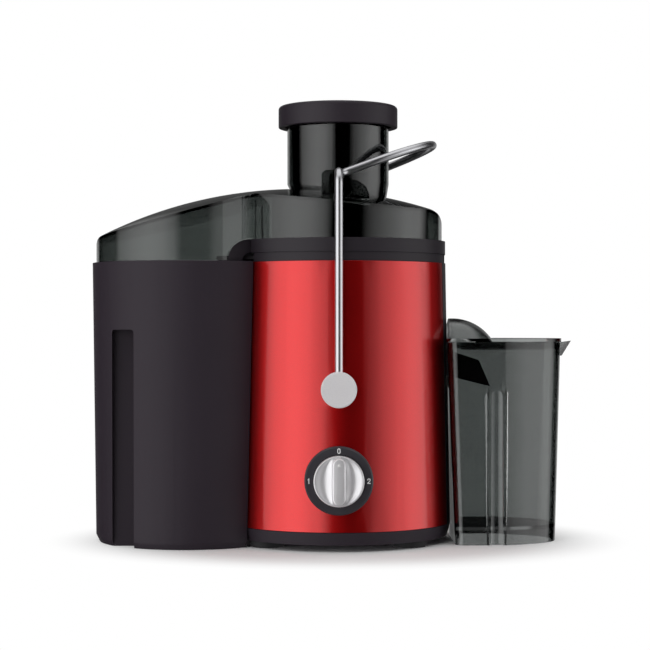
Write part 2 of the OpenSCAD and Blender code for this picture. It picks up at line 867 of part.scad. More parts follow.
// The side outline of the spout, grown inwards by the wall w
module spout_outline(w, reach) {
    low_root_z = spout_tip_z + (spout_tip_x - spout_root_x) * tan(spout_low_slope);
    top_root_z = spout_mouth_z + (spout_mouth_x - spout_root_x) * tan(spout_top_slope);
    polygon([[spout_root_x - reach, low_root_z + w + reach * tan(spout_low_slope)],
        [spout_tip_x + reach, spout_tip_z + w - reach * tan(spout_low_slope)],
        [spout_mouth_x + reach, spout_mouth_z - w - reach * tan(spout_top_slope)],
        [spout_root_x - reach, top_root_z - w + reach * tan(spout_top_slope)]]);
}

// A shape drawn in X and Z, given a depth along Y about the middle
module xz_extrude(depth) {
    translate([0, depth / 2, 0]) rotate([90, 0, 0]) linear_extrude(depth) children();
}

// Everything above the bowl's falling floor, shifted by dz
module above_floor(dz) {
    translate([bowl_r, 0, floor_right_z + dz]) rotate([0, bowl_fall, 0])
        translate([-250, -100, 0]) cube([300, 200, 150]);
}

module juice_bowl() {
    color("#2b282e") difference() {
        union() {
            // Round wall and falling floor, with the dry chimney round the motor tower
            difference() {
                intersection() {
                    translate([0, 0, 100]) cylinder(h = collar_top_z - 100, r = bowl_r);
                    above_floor(-bowl_t);
                }
                intersection() {
                    translate([0, 0, 100]) cylinder(h = 150, r = bowl_r - bowl_t);
                    above_floor(0);
                }
                translate([0, 0, 100]) cylinder(h = 150, r = chimney_r);
            }
            intersection() {
                ring(chimney_r + 2, chimney_r, 100, chimney_top_z);
                above_floor(-bowl_t);
            }
            // Collar that rests on the housing's rim
            difference() {
                ring(collar_r, bowl_r - bowl_t, collar_z, collar_top_z);
                translate([-200 - cheek_x, -100, 0]) cube([200, 200, 300]);
            }
            // Cheeks that curve down to the pulp container
            intersection() {
                xz_extrude(200) difference() {
                    translate([-cheek_x, cheek_z]) circle(r = cheek_r);
                    translate([-cheek_x, cheek_z]) circle(r = cheek_r - collar_h);
                    translate([-cheek_x, 0]) square([50, 300]);
                    translate([-200, 0]) square([200, cheek_z + 0.1]);
                }
                for (m = [0, 1]) mirror([0, m, 0]) linear_extrude(300)
                    polygon([[-cheek_x, cheek_step - sqrt(pow(collar_r, 2) - pow(cheek_x, 2))],
                        [-cheek_x, -lip_half_w + 3], [-crease_x, -lip_half_w + 3],
                        [-crease_x, -crease_y - 1.6]]);
            }
            // Lip that leads the pulp over the container's rim
            difference() {
                union() {
                    translate([-lip_x, -lip_half_w, lip_z])
                        cube([lip_x - pulp_gap_x - seat, 2 * lip_half_w, lip_t]);
                    translate([-pulp_gap_x - eps, -lip_root_half_w, lip_z])
                        cube([2 * eps, 2 * lip_root_half_w, lip_t]);
                }
                cylinder(h = 300, r = bowl_r - bowl_t);
            }
        }
        // Pulp way over the basket's rim
        translate([-200 - 45, -lip_half_w, lip_z + lip_t]) cube([200, 2 * lip_half_w, 50]);
        juice_way();
    }
}

// The way of the juice through the bowl's wall and the spout
module juice_way() {
    difference() {
        xz_extrude(2 * (spout_half_w - spout_wall)) spout_outline(spout_wall, 20);
        cylinder(h = 300, r = chimney_r + 6);
    }
}

// Spout, and the apron above it that closes the housing's notch
module juice_spout() {
    color("#2b282e") difference() {
        union() {
            xz_extrude(2 * spout_half_w) spout_outline(0, 0);
            intersection() {
                difference() {
                    wrap_cone(120, wrap_top_z, 0.15);
                    wrap_cone(119, wrap_top_z + eps, -3);
                }
                block(75, 0, 40, 2 * spout_half_w, 128, wrap_top_z);
            }
            block(71, 0, 7.2, 2 * spout_half_w, wrap_top_z - 6, collar_z);
        }
        translate([0, 0, 100]) cylinder(h = 200, r = bowl_r + seat / 2);
        juice_way();
    }
}

// ---- Strainer basket ----

module basket_hub() {
    color("#3a383e") difference() {
        union() {
            translate([0, 0, basket_floor_z]) cylinder(h = basket_floor_t, r = basket_low_r + 1);
            translate([0, 0, coupling_z + 4])
                cylinder(h = basket_floor_z - coupling_z - 3, r = hub_socket_r + hub_wall);
        }
        translate([0, 0, coupling_z + 4 - eps])
            cylinder(h = basket_floor_z - coupling_z - 4 + eps, r = hub_socket_r);
    }
}

module strainer_basket() {
    color("#c9cbcf") difference() {
        translate([0, 0, mesh_z]) cylinder(h = mesh_h, r1 = basket_low_r, r2 = basket_top_r);
        translate([0, 0, mesh_z])
            cylinder(h = mesh_h, r1 = basket_low_r - mesh_t, r2 = basket_top_r - mesh_t);
        translate([0, 0, mesh_z + mesh_h - 0.5]) cylinder(h = 1, r = basket_top_r - mesh_t);
    }
}

module basket_rim() {
    rim_z = mesh_z + mesh_h;
    color("#3a383e") {
        difference() {
            translate([0, 0, rim_z - 1]) cylinder(h = 3, r = basket_top_r + 3);
            translate([0, 0, rim_z - 2]) cylinder(h = 2, r = basket_top_r + 0.1);
            translate([0, 0, rim_z - 3]) cylinder(h = 6, r = basket_top_r - 2);
        }
    }
}

tooth_h = 1.8;
tooth_rows = 10;
teeth_per_row = 6;

module grater_disc() {
    color("#d2d4d8") {
        ring(grater_r, 6, grater_z, grater_z + grater_t);
        for (i = [0:tooth_rows - 1], j = [0:teeth_per_row - 1])
            rotate([0, 0, i * 360 / tooth_rows + j * 9])
                translate([12 + j * (grater_r - 16) / (teeth_per_row - 1), 0, grater_z + grater_t - 0.1])
                    cylinder(h = tooth_h, r1 = 1.3, r2 = 0.3, $fn = 16);
    }
}

// ---- Lid with feed tube ----

lid_arc_r = 308;
lid_arc_x = -27.5;
lid_crown_r = 250;
left_fillet = 12;
right_fillet = 14;
lid_low_z = pulp_h + 0.3;
tube_low_z = grater_z + grater_t + tooth_h + tube_gap;
deflector_r = bowl_r - bowl_t - 0.6;
saddle_x0 = -11.6;
saddle_x1 = 20.7;
saddle_y0 = 49;
saddle_y1 = 60;
saddle_top_z = 257;
wire_gap = 0.3;

// The lid's outline from above, d inside its outer wall
module lid_plan(d) {
    circle(r = lid_r - d);
    intersection() {
        translate([-pulp_x, 0]) circle(r = lid_pulp_r - d);
        translate([-300 - crease_x, -150]) square([300, 300]);
    }
    polygon([[-crease_x - 0.1, crease_y - 1.1 * d], [-waist_x + d, waist_y - 1.1 * d],
        [-waist_x + d, -waist_y + 1.1 * d], [-crease_x - 0.1, -crease_y + 1.1 * d]]);
}

// Centre of the rounded corner of radius r that ends at x, under the lid's long arc
function corner_z(x, r, d) =
    lid_top_z - lid_arc_r + sqrt(pow(lid_arc_r - d - r, 2) - pow(x - lid_arc_x, 2));

// The lid's side outline, d inside, drawn as height over the crown's axis against minus X
module lid_profile(d) {
    arc_z = lid_top_z - lid_arc_r;
    axis_z = lid_top_z - lid_crown_r;
    rl = left_fillet - d;
    rr = right_fillet - d;
    xl = -pulp_x - lid_pulp_r + d + rl;
    xr = lid_r - d - rr;
    zl = corner_z(xl, rl, d);
    zr = corner_z(xr, rr, d);
    ul = [zl - arc_z, -(xl - lid_arc_x)] / (lid_arc_r - d - rl);
    ur = [zr - arc_z, -(xr - lid_arc_x)] / (lid_arc_r - d - rr);
    intersection() {
        translate([arc_z - axis_z, -lid_arc_x]) circle(r = lid_arc_r - d, $fn = 720);
        union() {
            polygon([[150 - axis_z, -xl], [zl - axis_z, -xl], [zl - axis_z, -xl] + 40 * ul,
                [zr - axis_z, -xr] + 40 * ur, [zr - axis_z, -xr], [150 - axis_z, -xr]]);
            translate([150 - axis_z, -xl]) square([zl - 150, rl]);
            translate([150 - axis_z, -xr - rr]) square([zr - 150, rr]);
            translate([zl - axis_z, -xl]) circle(r = rl);
            translate([zr - axis_z, -xr]) circle(r = rr);
        }
    }
}

// The lid's solid form, d inside its outer faces
module lid_form(d) {
    crown_turn = 42;
    intersection() {
        translate([0, 0, lid_low_z - (d > 0 ? eps : 0)]) linear_extrude(100) lid_plan(d);
        translate([0, 0, lid_top_z - lid_crown_r]) rotate([0, -90, 0]) rotate([0, 0, -crown_turn / 2])
            rotate_extrude(angle = crown_turn) lid_profile(d);
    }
}

// Room for the bowl's collar and cheeks below the lid
module collar_room(gap) {
    translate([-cheek_x, -150, 150]) cube([300, 300, collar_top_z - 150]);
    xz_extrude(300) translate([-cheek_x, cheek_z]) circle(r = cheek_r + gap);
}

// The hump on the lid that the bail clamps: a stop on the left, a falling back on the right
module saddle() {
    clear_r = bail_rise - wire_d / 2 - wire_gap;
    intersection() {
        xz_extrude(400) difference() {
            union() {
                translate([saddle_x0, 225]) square([-saddle_x0 - wire_d / 2 - wire_gap, saddle_top_z - 229]);
                translate([saddle_x0 + 4, saddle_top_z - 4]) circle(r = 4);
                translate([saddle_x0 + 4, 240])
                    square([-saddle_x0 - 4 - wire_d / 2 - wire_gap, saddle_top_z - 240]);
                intersection() {
                    translate([saddle_x0, 225]) square([-saddle_x0 + saddle_x1 - 12, 40]);
                    translate([0, pivot_z]) circle(r = clear_r, $fn = 360);
                }
                intersection() {
                    translate([saddle_x1 - 12, pivot_z + clear_r - 13.2]) circle(r = 12);
                    translate([0, pivot_z]) circle(r = clear_r, $fn = 360);
                }
                translate([0, 225]) square([saddle_x1, pivot_z + clear_r - 13.2 - 225]);
            }
            translate([0, pivot_z + bail_rise]) circle(r = wire_d / 2 + wire_gap);
        }
        for (s = [-1, 1]) block(0, s * (saddle_y0 + saddle_y1) / 2, 80, saddle_y1 - saddle_y0, 225, 280);
    }
}

module lid() {
    color("#59605f", 0.62) difference() {
        union() {
            difference() {
                lid_form(0);
                difference() {
                    lid_form(lid_t);
                    // Ring that keeps the juice in the bowl
                    difference() {
                        ring(deflector_r, deflector_r - 1.8, collar_top_z - 6, 300);
                        translate([-200 - 45, -100, 0]) cube([200, 200, 300]);
                    }
                }
                collar_room(0.3);
            }
            intersection() {
                difference() {
                    ring(deflector_r, deflector_r - 1.8, collar_top_z - 6, collar_top_z + 8);
                    translate([-200 - 45, -100, 0]) cube([200, 200, 300]);
                }
                cylinder(h = 300, r = deflector_r);
            }
            translate([0, 0, tube_low_z]) cylinder(h = tube_top_z - tube_low_z, r = tube_r);
            difference() {
                saddle();
                lid_form(lid_t);
            }
        }
        translate([0, 0, tube_low_z - eps])
            cylinder(h = tube_top_z - tube_low_z + 2 * eps, r = tube_r - tube_t);
    }
}

// ---- Pusher ----

pusher_r = tube_r - tube_t - pusher_play;
pusher_low_z = tube_low_z + 1;
pusher_t = 2;
pusher_floor_t = 3;
pusher_bevel = 2;
// The cap rests on the tube's mouth, and the pusher's wall is let into it
cap_rest_z = tube_top_z + 0.3;
cap_crown = 6.6;
cap_let_in = 3.2;
cap_fillet = 2.5;
cap_play = 1.7;
cap_low_z = cap_rest_z + cap_crown - cap_h;

module pusher_body() {
    wall_z = pusher_low_z + pusher_bevel;
    color("#1e1c20") difference() {
        union() {
            translate([0, 0, wall_z]) cylinder(h = cap_rest_z + cap_let_in - wall_z, r = pusher_r);
            translate([0, 0, pusher_low_z])
                cylinder(h = pusher_bevel, r1 = pusher_r - pusher_bevel, r2 = pusher_r);
        }
        translate([0, 0, pusher_low_z + pusher_floor_t]) cylinder(h = tube_top_z, r = pusher_r - pusher_t);
    }
}

module pusher_cap() {
    color("#3a373d") difference() {
        union() {
            translate([0, 0, cap_low_z]) cylinder(h = cap_h - cap_fillet, r = cap_r);
            translate([0, 0, cap_low_z + cap_h - cap_fillet]) {
                cylinder(h = cap_fillet, r = cap_r - cap_fillet);
                rotate_extrude() translate([cap_r - cap_fillet, 0]) intersection() {
                    circle(r = cap_fillet, $fn = 48);
                    square(cap_fillet);
                }
            }
        }
        translate([0, 0, cap_low_z - eps]) cylinder(h = cap_rest_z - cap_low_z + eps, r = tube_r + cap_play);
        translate([0, 0, cap_rest_z - eps]) cylinder(h = cap_let_in + eps, r = pusher_r);
    }
}

// ---- Clamp bail ----

hub_in_y = wrap_r(pivot_z) + 1.1;
hub_out_y = hub_in_y + hub_h;
pin_in_y = boss_in_y - 4;
bush_in_y = boss_in_y - 0.5;
bend_r = 8;
wire_r = wire_d / 2;

module at_pivots() {
    for (m = [0, 1]) mirror([0, m, 0]) translate([0, 0, pivot_z]) children();
}

module pivot_bushes() {
    color("#c9a24a") at_pivots() difference() {
        y_rod(bush_r, -housing_out_r(pivot_z) + 0.4, -bush_in_y, 0);
        y_rod(pin_r + run, -100, 0, 0);
    }
}

module pivot_pins() {
    color("#b9b9bb") at_pivots() y_rod(pin_r, -hub_in_y - 3, -pin_in_y, 0);
}

module pivot_hubs() {
    color("#cfcccf") at_pivots() difference() {
        union() {
            y_rod(hub_r, -hub_out_y + 0.8, -hub_in_y, 0);
            y_rod(hub_r - 0.8, -hub_out_y, -hub_out_y + 0.8, 0, hub_r);
        }
        y_rod(pin_r, -hub_in_y - 3, 0, 0);
        translate([0, -arm_y, hub_r - 7]) cylinder(h = 20, r = wire_r);
    }
}

// A round elbow of the wire: from +X at the origin, turning to +Y
module elbow(r, turn) {
    translate([0, r, 0]) rotate([0, 0, -90])
        rotate_extrude(angle = turn) translate([r, 0]) circle(r = wire_r, $fn = 48);
}

module half_bail() {
    rise = bail_rise - bend_r;
    // Arm
    translate([0, -arm_y, hub_r - 7]) cylinder(h = rise - hub_r + 7, r = wire_r, $fn = 48);
    // Bend from the arm to the run over the saddle
    translate([0, -arm_y, rise]) rotate([0, -90, 0]) elbow(bend_r, 90);
    translate([0, -arm_y + bend_r, bail_rise]) rotate([-90, 0, 0])
        cylinder(h = arm_y - 2 * bend_r - bow_half_w, r = wire_r, $fn = 48);
    // Bend into the bow, then the bow's straight and its quarter of the round end
    translate([0, 0, bail_rise]) rotate([0, -bow_tilt, 0]) {
        translate([0, -bow_half_w - bend_r, 0]) rotate([0, 0, 90]) mirror([0, 1, 0]) elbow(bend_r, 90);
        translate([bend_r, -bow_half_w, 0]) rotate([0, 90, 0])
            cylinder(h = bow_straight - bend_r, r = wire_r, $fn = 48);
        translate([bow_straight, -bow_half_w, 0]) elbow(bow_half_w, 90);
    }
}

module wire_bail() {
    color("#c6c8cb") at_pivots() half_bail();
}

cam_r = 6.5;

module interlock_cam() {
    color("#d8d4c8") translate([0, 0, pivot_z]) difference() {
        y_rod(cam_r, pin_in_y - 3.5, bush_in_y - 0.4, 0);
        translate([3.2, 0, -20]) cube([20, 100, 40]);
        y_rod(pin_r, pin_in_y, 100, 0);
    }
}

module interlock_switch() {
    top_z = shelf_z + shelf_t + 9;
    color("#2a2a2e") {
        block(0, 60, 20, 7, shelf_z + shelf_t, top_z);
        translate([0, 58.5, top_z - 0.5]) cylinder(h = pivot_z - cam_r - 0.3 - top_z + 0.5, r = 1.4);
    }
}

// ---- Pulp container ----

pulp_floor_t = 2.5;
pulp_foot_r = 5;
pulp_groove_x = -147;
pulp_groove_y = 40;

// The container's outline solid, d inside its outer walls
module pulp_form(d) {
    lean = (pulp_top_r - pulp_base_r) / pulp_h;
    difference() {
        translate([-pulp_x, 0, d == 0 ? 0 : pulp_floor_t]) union() {
            h = d == 0 ? pulp_h : pulp_h - pulp_floor_t + eps;
            r_low = pulp_base_r - d + (d == 0 ? 0 : lean * pulp_floor_t);
            translate([0, 0, pulp_foot_r])
                cylinder(h = h - pulp_foot_r, r1 = r_low + lean * pulp_foot_r, r2 = pulp_top_r - d);
            cylinder(h = pulp_foot_r, r1 = r_low - 2.4, r2 = r_low + lean * pulp_foot_r);
        }
        wrap_cone(-eps, pulp_h + 5, free + d);
        for (m = [0, 1]) mirror([0, m, 0]) pulp_groove(d);
    }
}

module pulp_groove(d) {
    corner = 2 + d;
    half = pulp_groove_w / 2 + d;
    top = pulp_groove_h + d;
    translate([pulp_groove_x, -pulp_groove_y + d, 0]) rotate([90, 0, 0]) linear_extrude(60) {
        translate([-half, -eps]) square([2 * half, top - corner + eps]);
        translate([-half + corner, 0]) square([2 * (half - corner), top]);
        for (s = [-1, 1]) translate([s * (half - corner), top - corner]) circle(r = corner, $fn = 32);
    }
}

module pulp_container() {
    color("#322f35") difference() {
        pulp_form(0);
        pulp_form(pulp_t);
    }
}

// ---- Juice jug and its lid ----

jug_corner = 6;
jug_nose = 30;
jug_floor_t = 2.4;
jug_foot_h = 10;
jug_floor_z = jug_foot_h + jug_floor_t;
jug_mid_x = jug_x0 + 0.4 * jug_l;
jug_end_x = jug_mid_x + 0.6 * jug_l * jug_flare;
jug_groove_x = 109.6;
jug_groove_depth = 3.6;
jug_groove_edge = 0.6;
jug_crease_x = jug_groove_x + 2.4;
jug_crease = 13;
jug_cheek_r = 71.6;
jug_cheek_end = 31;
jug_lip_x = 165.4;
jug_lip_h = 9.5;
jug_lip_half_w = 15;
jug_lip_reach = 15.4;
jug_lip_slant = 7.6;
jug_lip_z = jug_h - jug_lip_h;
jug_lip_top = jug_h + 1;
lip_wall = 1.8;
spout_room = 1.5;
jug_notch_z = spout_tip_z - spout_room;

// The jug's outline at its foot, d inside its outer wall. Its sides are flat up to a crease and
// curve in to the nose from there.
module jug_plan(d) {
    cheek_x = jug_crease_x - jug_cheek_r * sin(jug_crease);
    cheek_y = jug_half_w - jug_cheek_r * cos(jug_crease);
    r = jug_cheek_r - d;
    translate([-jug_mid_x, 0]) hull() {
        for (s = [-1, 1]) {
            translate([jug_x0 + jug_corner, s * (jug_half_w - jug_corner)])
                circle(r = jug_corner - d, $fn = 40);
            polygon([for (a = [jug_crease:3:jug_cheek_end])
                [cheek_x + r * sin(a), s * (cheek_y + r * cos(a))]]);
        }
        translate([jug_x0 + jug_l - jug_nose, 0]) circle(r = jug_nose - d, $fn = 64);
    }
}

module jug_form(d, z0, z1) {
    reach = jug_h + 2 * eps;
    translate([jug_mid_x, 0, 0]) intersection() {
        linear_extrude(reach, scale = 1 + (jug_flare - 1) * reach / jug_h) jug_plan(d);
        translate([-100, -100, z0]) cube([200, 200, z1 - z0]);
    }
}

// Grip groove in the knob's side, a round channel with an arched top end, d inside the wall.
// Its depth and width are those at the foot, where the wall has not flared out yet.
module jug_groove(d) {
    chord = jug_groove_w / 2 - jug_groove_edge;
    round_r = (chord * chord + jug_groove_depth * jug_groove_depth) / (2 * jug_groove_depth);
    r = round_r + d;
    axis_y = jug_half_w - jug_groove_depth + round_r;
    arch_z = jug_groove_h - round_r;
    translate([jug_groove_x, -axis_y, 0]) difference() {
        translate([0, 0, -eps]) linear_extrude(jug_groove_h + d + eps) circle(r = r);
        difference() {
            translate([-20, -60, arch_z]) cube([40, 80, 40]);
            translate([0, 30, arch_z]) rotate([90, 0, 0]) cylinder(h = 100, r = r + run);
        }
    }
}

// The pouring lip, d inside
module jug_lip(d) {
    root_x = jug_lip_x - jug_lip_reach;
    low_z = jug_lip_z + d * 1.4;
    intersection() {
        xz_extrude(4 * jug_lip_half_w) polygon([[root_x, jug_h + eps * d],
            [jug_end_x + eps, jug_h + eps * d], [jug_lip_x - d, jug_lip_top + eps * d],
            [jug_lip_x - jug_lip_slant - d, low_z], [root_x, low_z]]);
        linear_extrude(jug_lip_top + 2 * eps) polygon([[root_x, -jug_lip_half_w + d],
            [jug_lip_x - 1.4 * d, 0], [root_x, jug_lip_half_w - d]]);
    }
}

module jug_body() {
    color("#4c5251", 0.6) difference() {
        union() {
            difference() {
                jug_form(0, 0, jug_h);
                jug_groove(0);
            }
            jug_lip(0);
        }
        for (span = [[jug_floor_z, jug_h + eps], [-eps, jug_foot_h]]) difference() {
            jug_form(jug_t, span[0], span[1]);
            jug_groove(jug_t);
        }
        jug_lip(lip_wall);
        block(jug_x0, 0, 16, 2 * (spout_half_w + spout_room), jug_notch_z, jug_h + 10);
    }
}

lid_plate_t = 2.5;
skirt_h = 5;
skirt_gap = 0.3;
skirt_t = 1.6;

// The side towards the juice spout, where the lid has no skirt
module skirt_opening() {
    block(jug_x0, 0, 2 * jug_corner, 4 * jug_half_w, jug_notch_z, jug_h + seat);
}

module jug_lid() {
    plate_z = jug_h + seat;
    top_z = plate_z + lid_plate_t;
    hood_x = wrap_r(plate_z) + 1.4;
    hood_mid_x = hood_x + 2.7;
    hood_low = hood_r - 14.1;
    color("#4c5251", 0.6) difference() {
        union() {
            // Plate on the rim, and the skirt inside it
            difference() {
                translate([jug_mid_x, 0, plate_z]) linear_extrude(lid_plate_t)
                    scale(jug_flare) jug_plan(-0.6);
                translate([0, 0, plate_z - eps]) cylinder(h = 10, r = wrap_r(plate_z) + 0.9);
            }
            difference() {
                jug_form(jug_t + skirt_gap, jug_h - skirt_h, jug_h);
                jug_form(jug_t + skirt_gap + skirt_t, jug_h - skirt_h - eps, jug_h + eps);
                skirt_opening();
            }
            difference() {
                translate([jug_mid_x, 0, jug_h - eps]) linear_extrude(seat + eps)
                    scale(jug_flare - 0.001) difference() {
                        jug_plan(jug_t + skirt_gap);
                        jug_plan(jug_t + skirt_gap + skirt_t);
                    }
                skirt_opening();
            }
            // Hood on the housing side
            intersection() {
                translate([hood_mid_x, 0, top_z - hood_low]) sphere(r = hood_r);
                translate([hood_x, -50, plate_z]) cube([60, 100, 60]);
            }
        }
        intersection() {
            translate([hood_mid_x, 0, top_z - hood_low]) sphere(r = hood_r - 2);
            translate([hood_x + 2, -50, plate_z - eps]) cube([60, 100, 60]);
        }
    }
}

base_plate();
feet();
base_screws();
inner_housing();
motor_deck();
body_wrap();
cord_gland();
terminal_block();
internal_leads();
knob_bezel();
dial_numerals();
speed_switch();
knob_spindle();
control_knob();
knob_pointer();
cooling_fan();
motor_shaft();
lower_bracket();
lower_bearing();
commutator();
brush_holders();
carbon_brushes();
brush_springs();
stator_core();
stator_coils();
armature_core();
armature_windings();
upper_bracket();
upper_bearing();
motor_screws();
rubber_mounts();
mount_screws();
shaft_seal();
drive_coupling();
juice_bowl();
juice_spout();
basket_hub();
strainer_basket();
basket_rim();
grater_disc();
lid();
pusher_body();
pusher_cap();
pivot_bushes();
pivot_pins();
pivot_hubs();
wire_bail();
interlock_cam();
interlock_switch();
pulp_container();
jug_body();
jug_lid();
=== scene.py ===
import math

import bmesh
import bpy
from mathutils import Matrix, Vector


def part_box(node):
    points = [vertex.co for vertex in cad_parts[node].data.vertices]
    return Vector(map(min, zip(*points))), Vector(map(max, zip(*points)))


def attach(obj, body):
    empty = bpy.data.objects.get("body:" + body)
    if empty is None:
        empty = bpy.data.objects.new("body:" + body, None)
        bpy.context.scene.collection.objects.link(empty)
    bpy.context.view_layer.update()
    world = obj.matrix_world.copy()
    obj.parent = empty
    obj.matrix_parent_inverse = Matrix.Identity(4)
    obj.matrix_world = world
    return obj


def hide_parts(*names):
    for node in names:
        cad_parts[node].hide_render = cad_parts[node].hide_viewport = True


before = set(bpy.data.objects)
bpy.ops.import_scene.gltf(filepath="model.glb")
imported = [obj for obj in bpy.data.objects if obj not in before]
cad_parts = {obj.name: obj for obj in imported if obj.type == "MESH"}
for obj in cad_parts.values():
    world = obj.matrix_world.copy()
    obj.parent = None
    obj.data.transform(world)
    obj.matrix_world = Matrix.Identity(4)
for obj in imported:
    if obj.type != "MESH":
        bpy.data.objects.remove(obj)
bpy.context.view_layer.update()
scene = bpy.context.scene
MM = 0.001
DEGREES = 180 / math.pi

# ---- Camera ----
# A long lens stands 1.28 m in front of the knob side. It looks level, at about the middle of the
# juicer's height, so the uprights stay upright.

camera = bpy.data.objects.new("camera", bpy.data.cameras.new("camera"))
camera.data.sensor_width = 36
camera.data.lens = 99.7
camera.data.clip_start = 0.05
camera.location = (-0.00923, -1.278, 0.1519)
camera.rotation_euler = (math.radians(90), 0, 0)
scene.collection.objects.link(camera)
scene.camera = camera
scene.view_settings.view_transform = "Standard"

# ---- Studio ----
# Two tall soft panels stand left and right of the camera, a soft ceiling hangs overhead and a
# white wall stands behind. Seen straight, or through something clear, all of it is white.

# Brightness round the horizon: the azimuth from the camera's side, positive to the right, and the
# level there
PANELS = [
    (-180, 0.1), (-170, 0.1), (-166, 0.45), (-152, 0.45), (-146, 0.0), (-99, 0.0), (-92, 0.75),
    (-70, 1.5), (-48, 1.95), (-30, 1.7), (-15, 1.0), (-6, 0.0), (26, 0.0), (34, 0.42), (50, 0.95),
    (80, 1.7), (100, 1.45), (115, 0.0), (146, 0.0), (152, 0.45), (166, 0.45), (170, 0.1), (180, 0.1),
]
PANEL_PEAK = 2.5
# Elevations between which the panels on each side fade to PANEL_ENDS of their level
LEFT_TALL = (14, 46)
RIGHT_TALL = (5, 21)
PANEL_ENDS = 0.35
SIDES_BLEND = 0.1
CEILING_LEVEL = 1.1
CEILING_FROM = 38
CEILING_FULL = 56


def value_node(tree, operation, first, second=None):
    """A Math node. Its inputs are sockets or plain numbers."""
    node = tree.nodes.new("ShaderNodeMath")
    node.operation = operation
    for socket, value in zip(node.inputs, (first, second)):
        if isinstance(value, (int, float)):
            socket.default_value = value
        elif value is not None:
            tree.links.new(value, socket)
    return node.outputs[0]


def times(tree, first, second):
    return value_node(tree, "MULTIPLY", first, second)


def plus(tree, first, second):
    return value_node(tree, "ADD", first, second)


def minus(tree, first, second):
    return value_node(tree, "SUBTRACT", first, second)


def over(tree, first, second):
    return value_node(tree, "DIVIDE", first, second)


def axes_of(tree, vector):
    """The three parts of a vector, as the outputs of a node."""
    axes = tree.nodes.new("ShaderNodeSeparateXYZ")
    tree.links.new(vector, axes.inputs[0])
    return axes.outputs


def object_place(tree):
    return tree.nodes.new("ShaderNodeTexCoord").outputs["Object"]


def blend_node(tree, share, first, second, kind="FLOAT"):
    """A Mix node between two values or colours."""
    node = tree.nodes.new("ShaderNodeMix")
    node.data_type = kind
    sockets = [s for s in node.inputs if s.enabled]
    for socket, value in zip(sockets, (share, first, second)):
        if isinstance(value, bpy.types.NodeSocket):
            tree.links.new(value, socket)
        else:
            socket.default_value = value
    return [s for s in node.outputs if s.enabled][0]


def fade_node(tree, value, start, end):
    """A soft step from 0 to 1 between the start and the end."""
    fade = tree.nodes.new("ShaderNodeMapRange")
    fade.interpolation_type = "SMOOTHSTEP"
    fade.inputs["From Min"].default_value = start
    fade.inputs["From Max"].default_value = end
    tree.links.new(value, fade.inputs["Value"])
    return fade.outputs["Result"]


def stops_node(tree, value, stops, span, peak):
    """A piecewise straight curve through the stops, over the span, as a Color Ramp."""
    share = over(tree, minus(tree, value, span[0]), span[1] - span[0])
    ramp = tree.nodes.new("ShaderNodeValToRGB")
    points = ramp.color_ramp.elements
    while len(points) < len(stops):
        points.new(0.5)
    for point, (at, level) in zip(points, stops):
        point.position = (at - span[0]) / (span[1] - span[0])
        point.color = (level / peak, level / peak, level / peak, 1)
    tree.links.new(share, ramp.inputs["Fac"])
    return times(tree, ramp.outputs["Color"], peak)


def studio_world():
    world = bpy.data.worlds.new("studio")
    world.use_nodes = True
    tree = world.node_tree
    background = tree.nodes["Background"]
    direction = axes_of(tree, tree.nodes.new("ShaderNodeTexCoord").outputs["Generated"])
    towards_camera = times(tree, direction["Y"], -1.0)
    turn = value_node(tree, "ARCTAN2", direction["X"], towards_camera)
    azimuth = times(tree, turn, DEGREES)
    rise = times(tree, value_node(tree, "ARCSINE", direction["Z"]), DEGREES)
    round_level = stops_node(tree, azimuth, PANELS, (-180, 180), PANEL_PEAK)
    height = value_node(tree, "ABSOLUTE", rise)
    right = fade_node(tree, direction["X"], -SIDES_BLEND, SIDES_BLEND)
    left_end = fade_node(tree, height, *LEFT_TALL)
    right_end = fade_node(tree, height, *RIGHT_TALL)
    ends = blend_node(tree, right, left_end, right_end)
    panel_level = times(tree, round_level, blend_node(tree, ends, 1.0, PANEL_ENDS))
    ceiling = fade_node(tree, rise, CEILING_FROM, CEILING_FULL)
    studio = blend_node(tree, ceiling, panel_level, CEILING_LEVEL)
    rays = tree.nodes.new("ShaderNodeLightPath")
    unturned = value_node(tree, "LESS_THAN", rays.outputs["Glossy Depth"], 0.5)
    through = times(tree, rays.outputs["Is Transmission Ray"], unturned)
    straight = value_node(tree, "MAXIMUM", rays.outputs["Is Camera Ray"], through)
    tree.links.new(blend_node(tree, straight, studio, 1.0), background.inputs["Strength"])
    background.inputs["Color"].default_value = (1, 1, 1, 1)
    scene.world = world


studio_world()

# The floor is a wide pale disc. Gloss on the juicer mirrors the studio and not the floor. Away
# from the juicer's shadow the floor runs out into plain white.
FLOOR_R = 4.0
FLOOR_PALE = 0.9
FLOOR_SEEN = 1.0
SHADOW_HALF_X = 0.21
SHADOW_HALF_Y = 0.17
SHADOW_FADE = (0.6, 1.0)


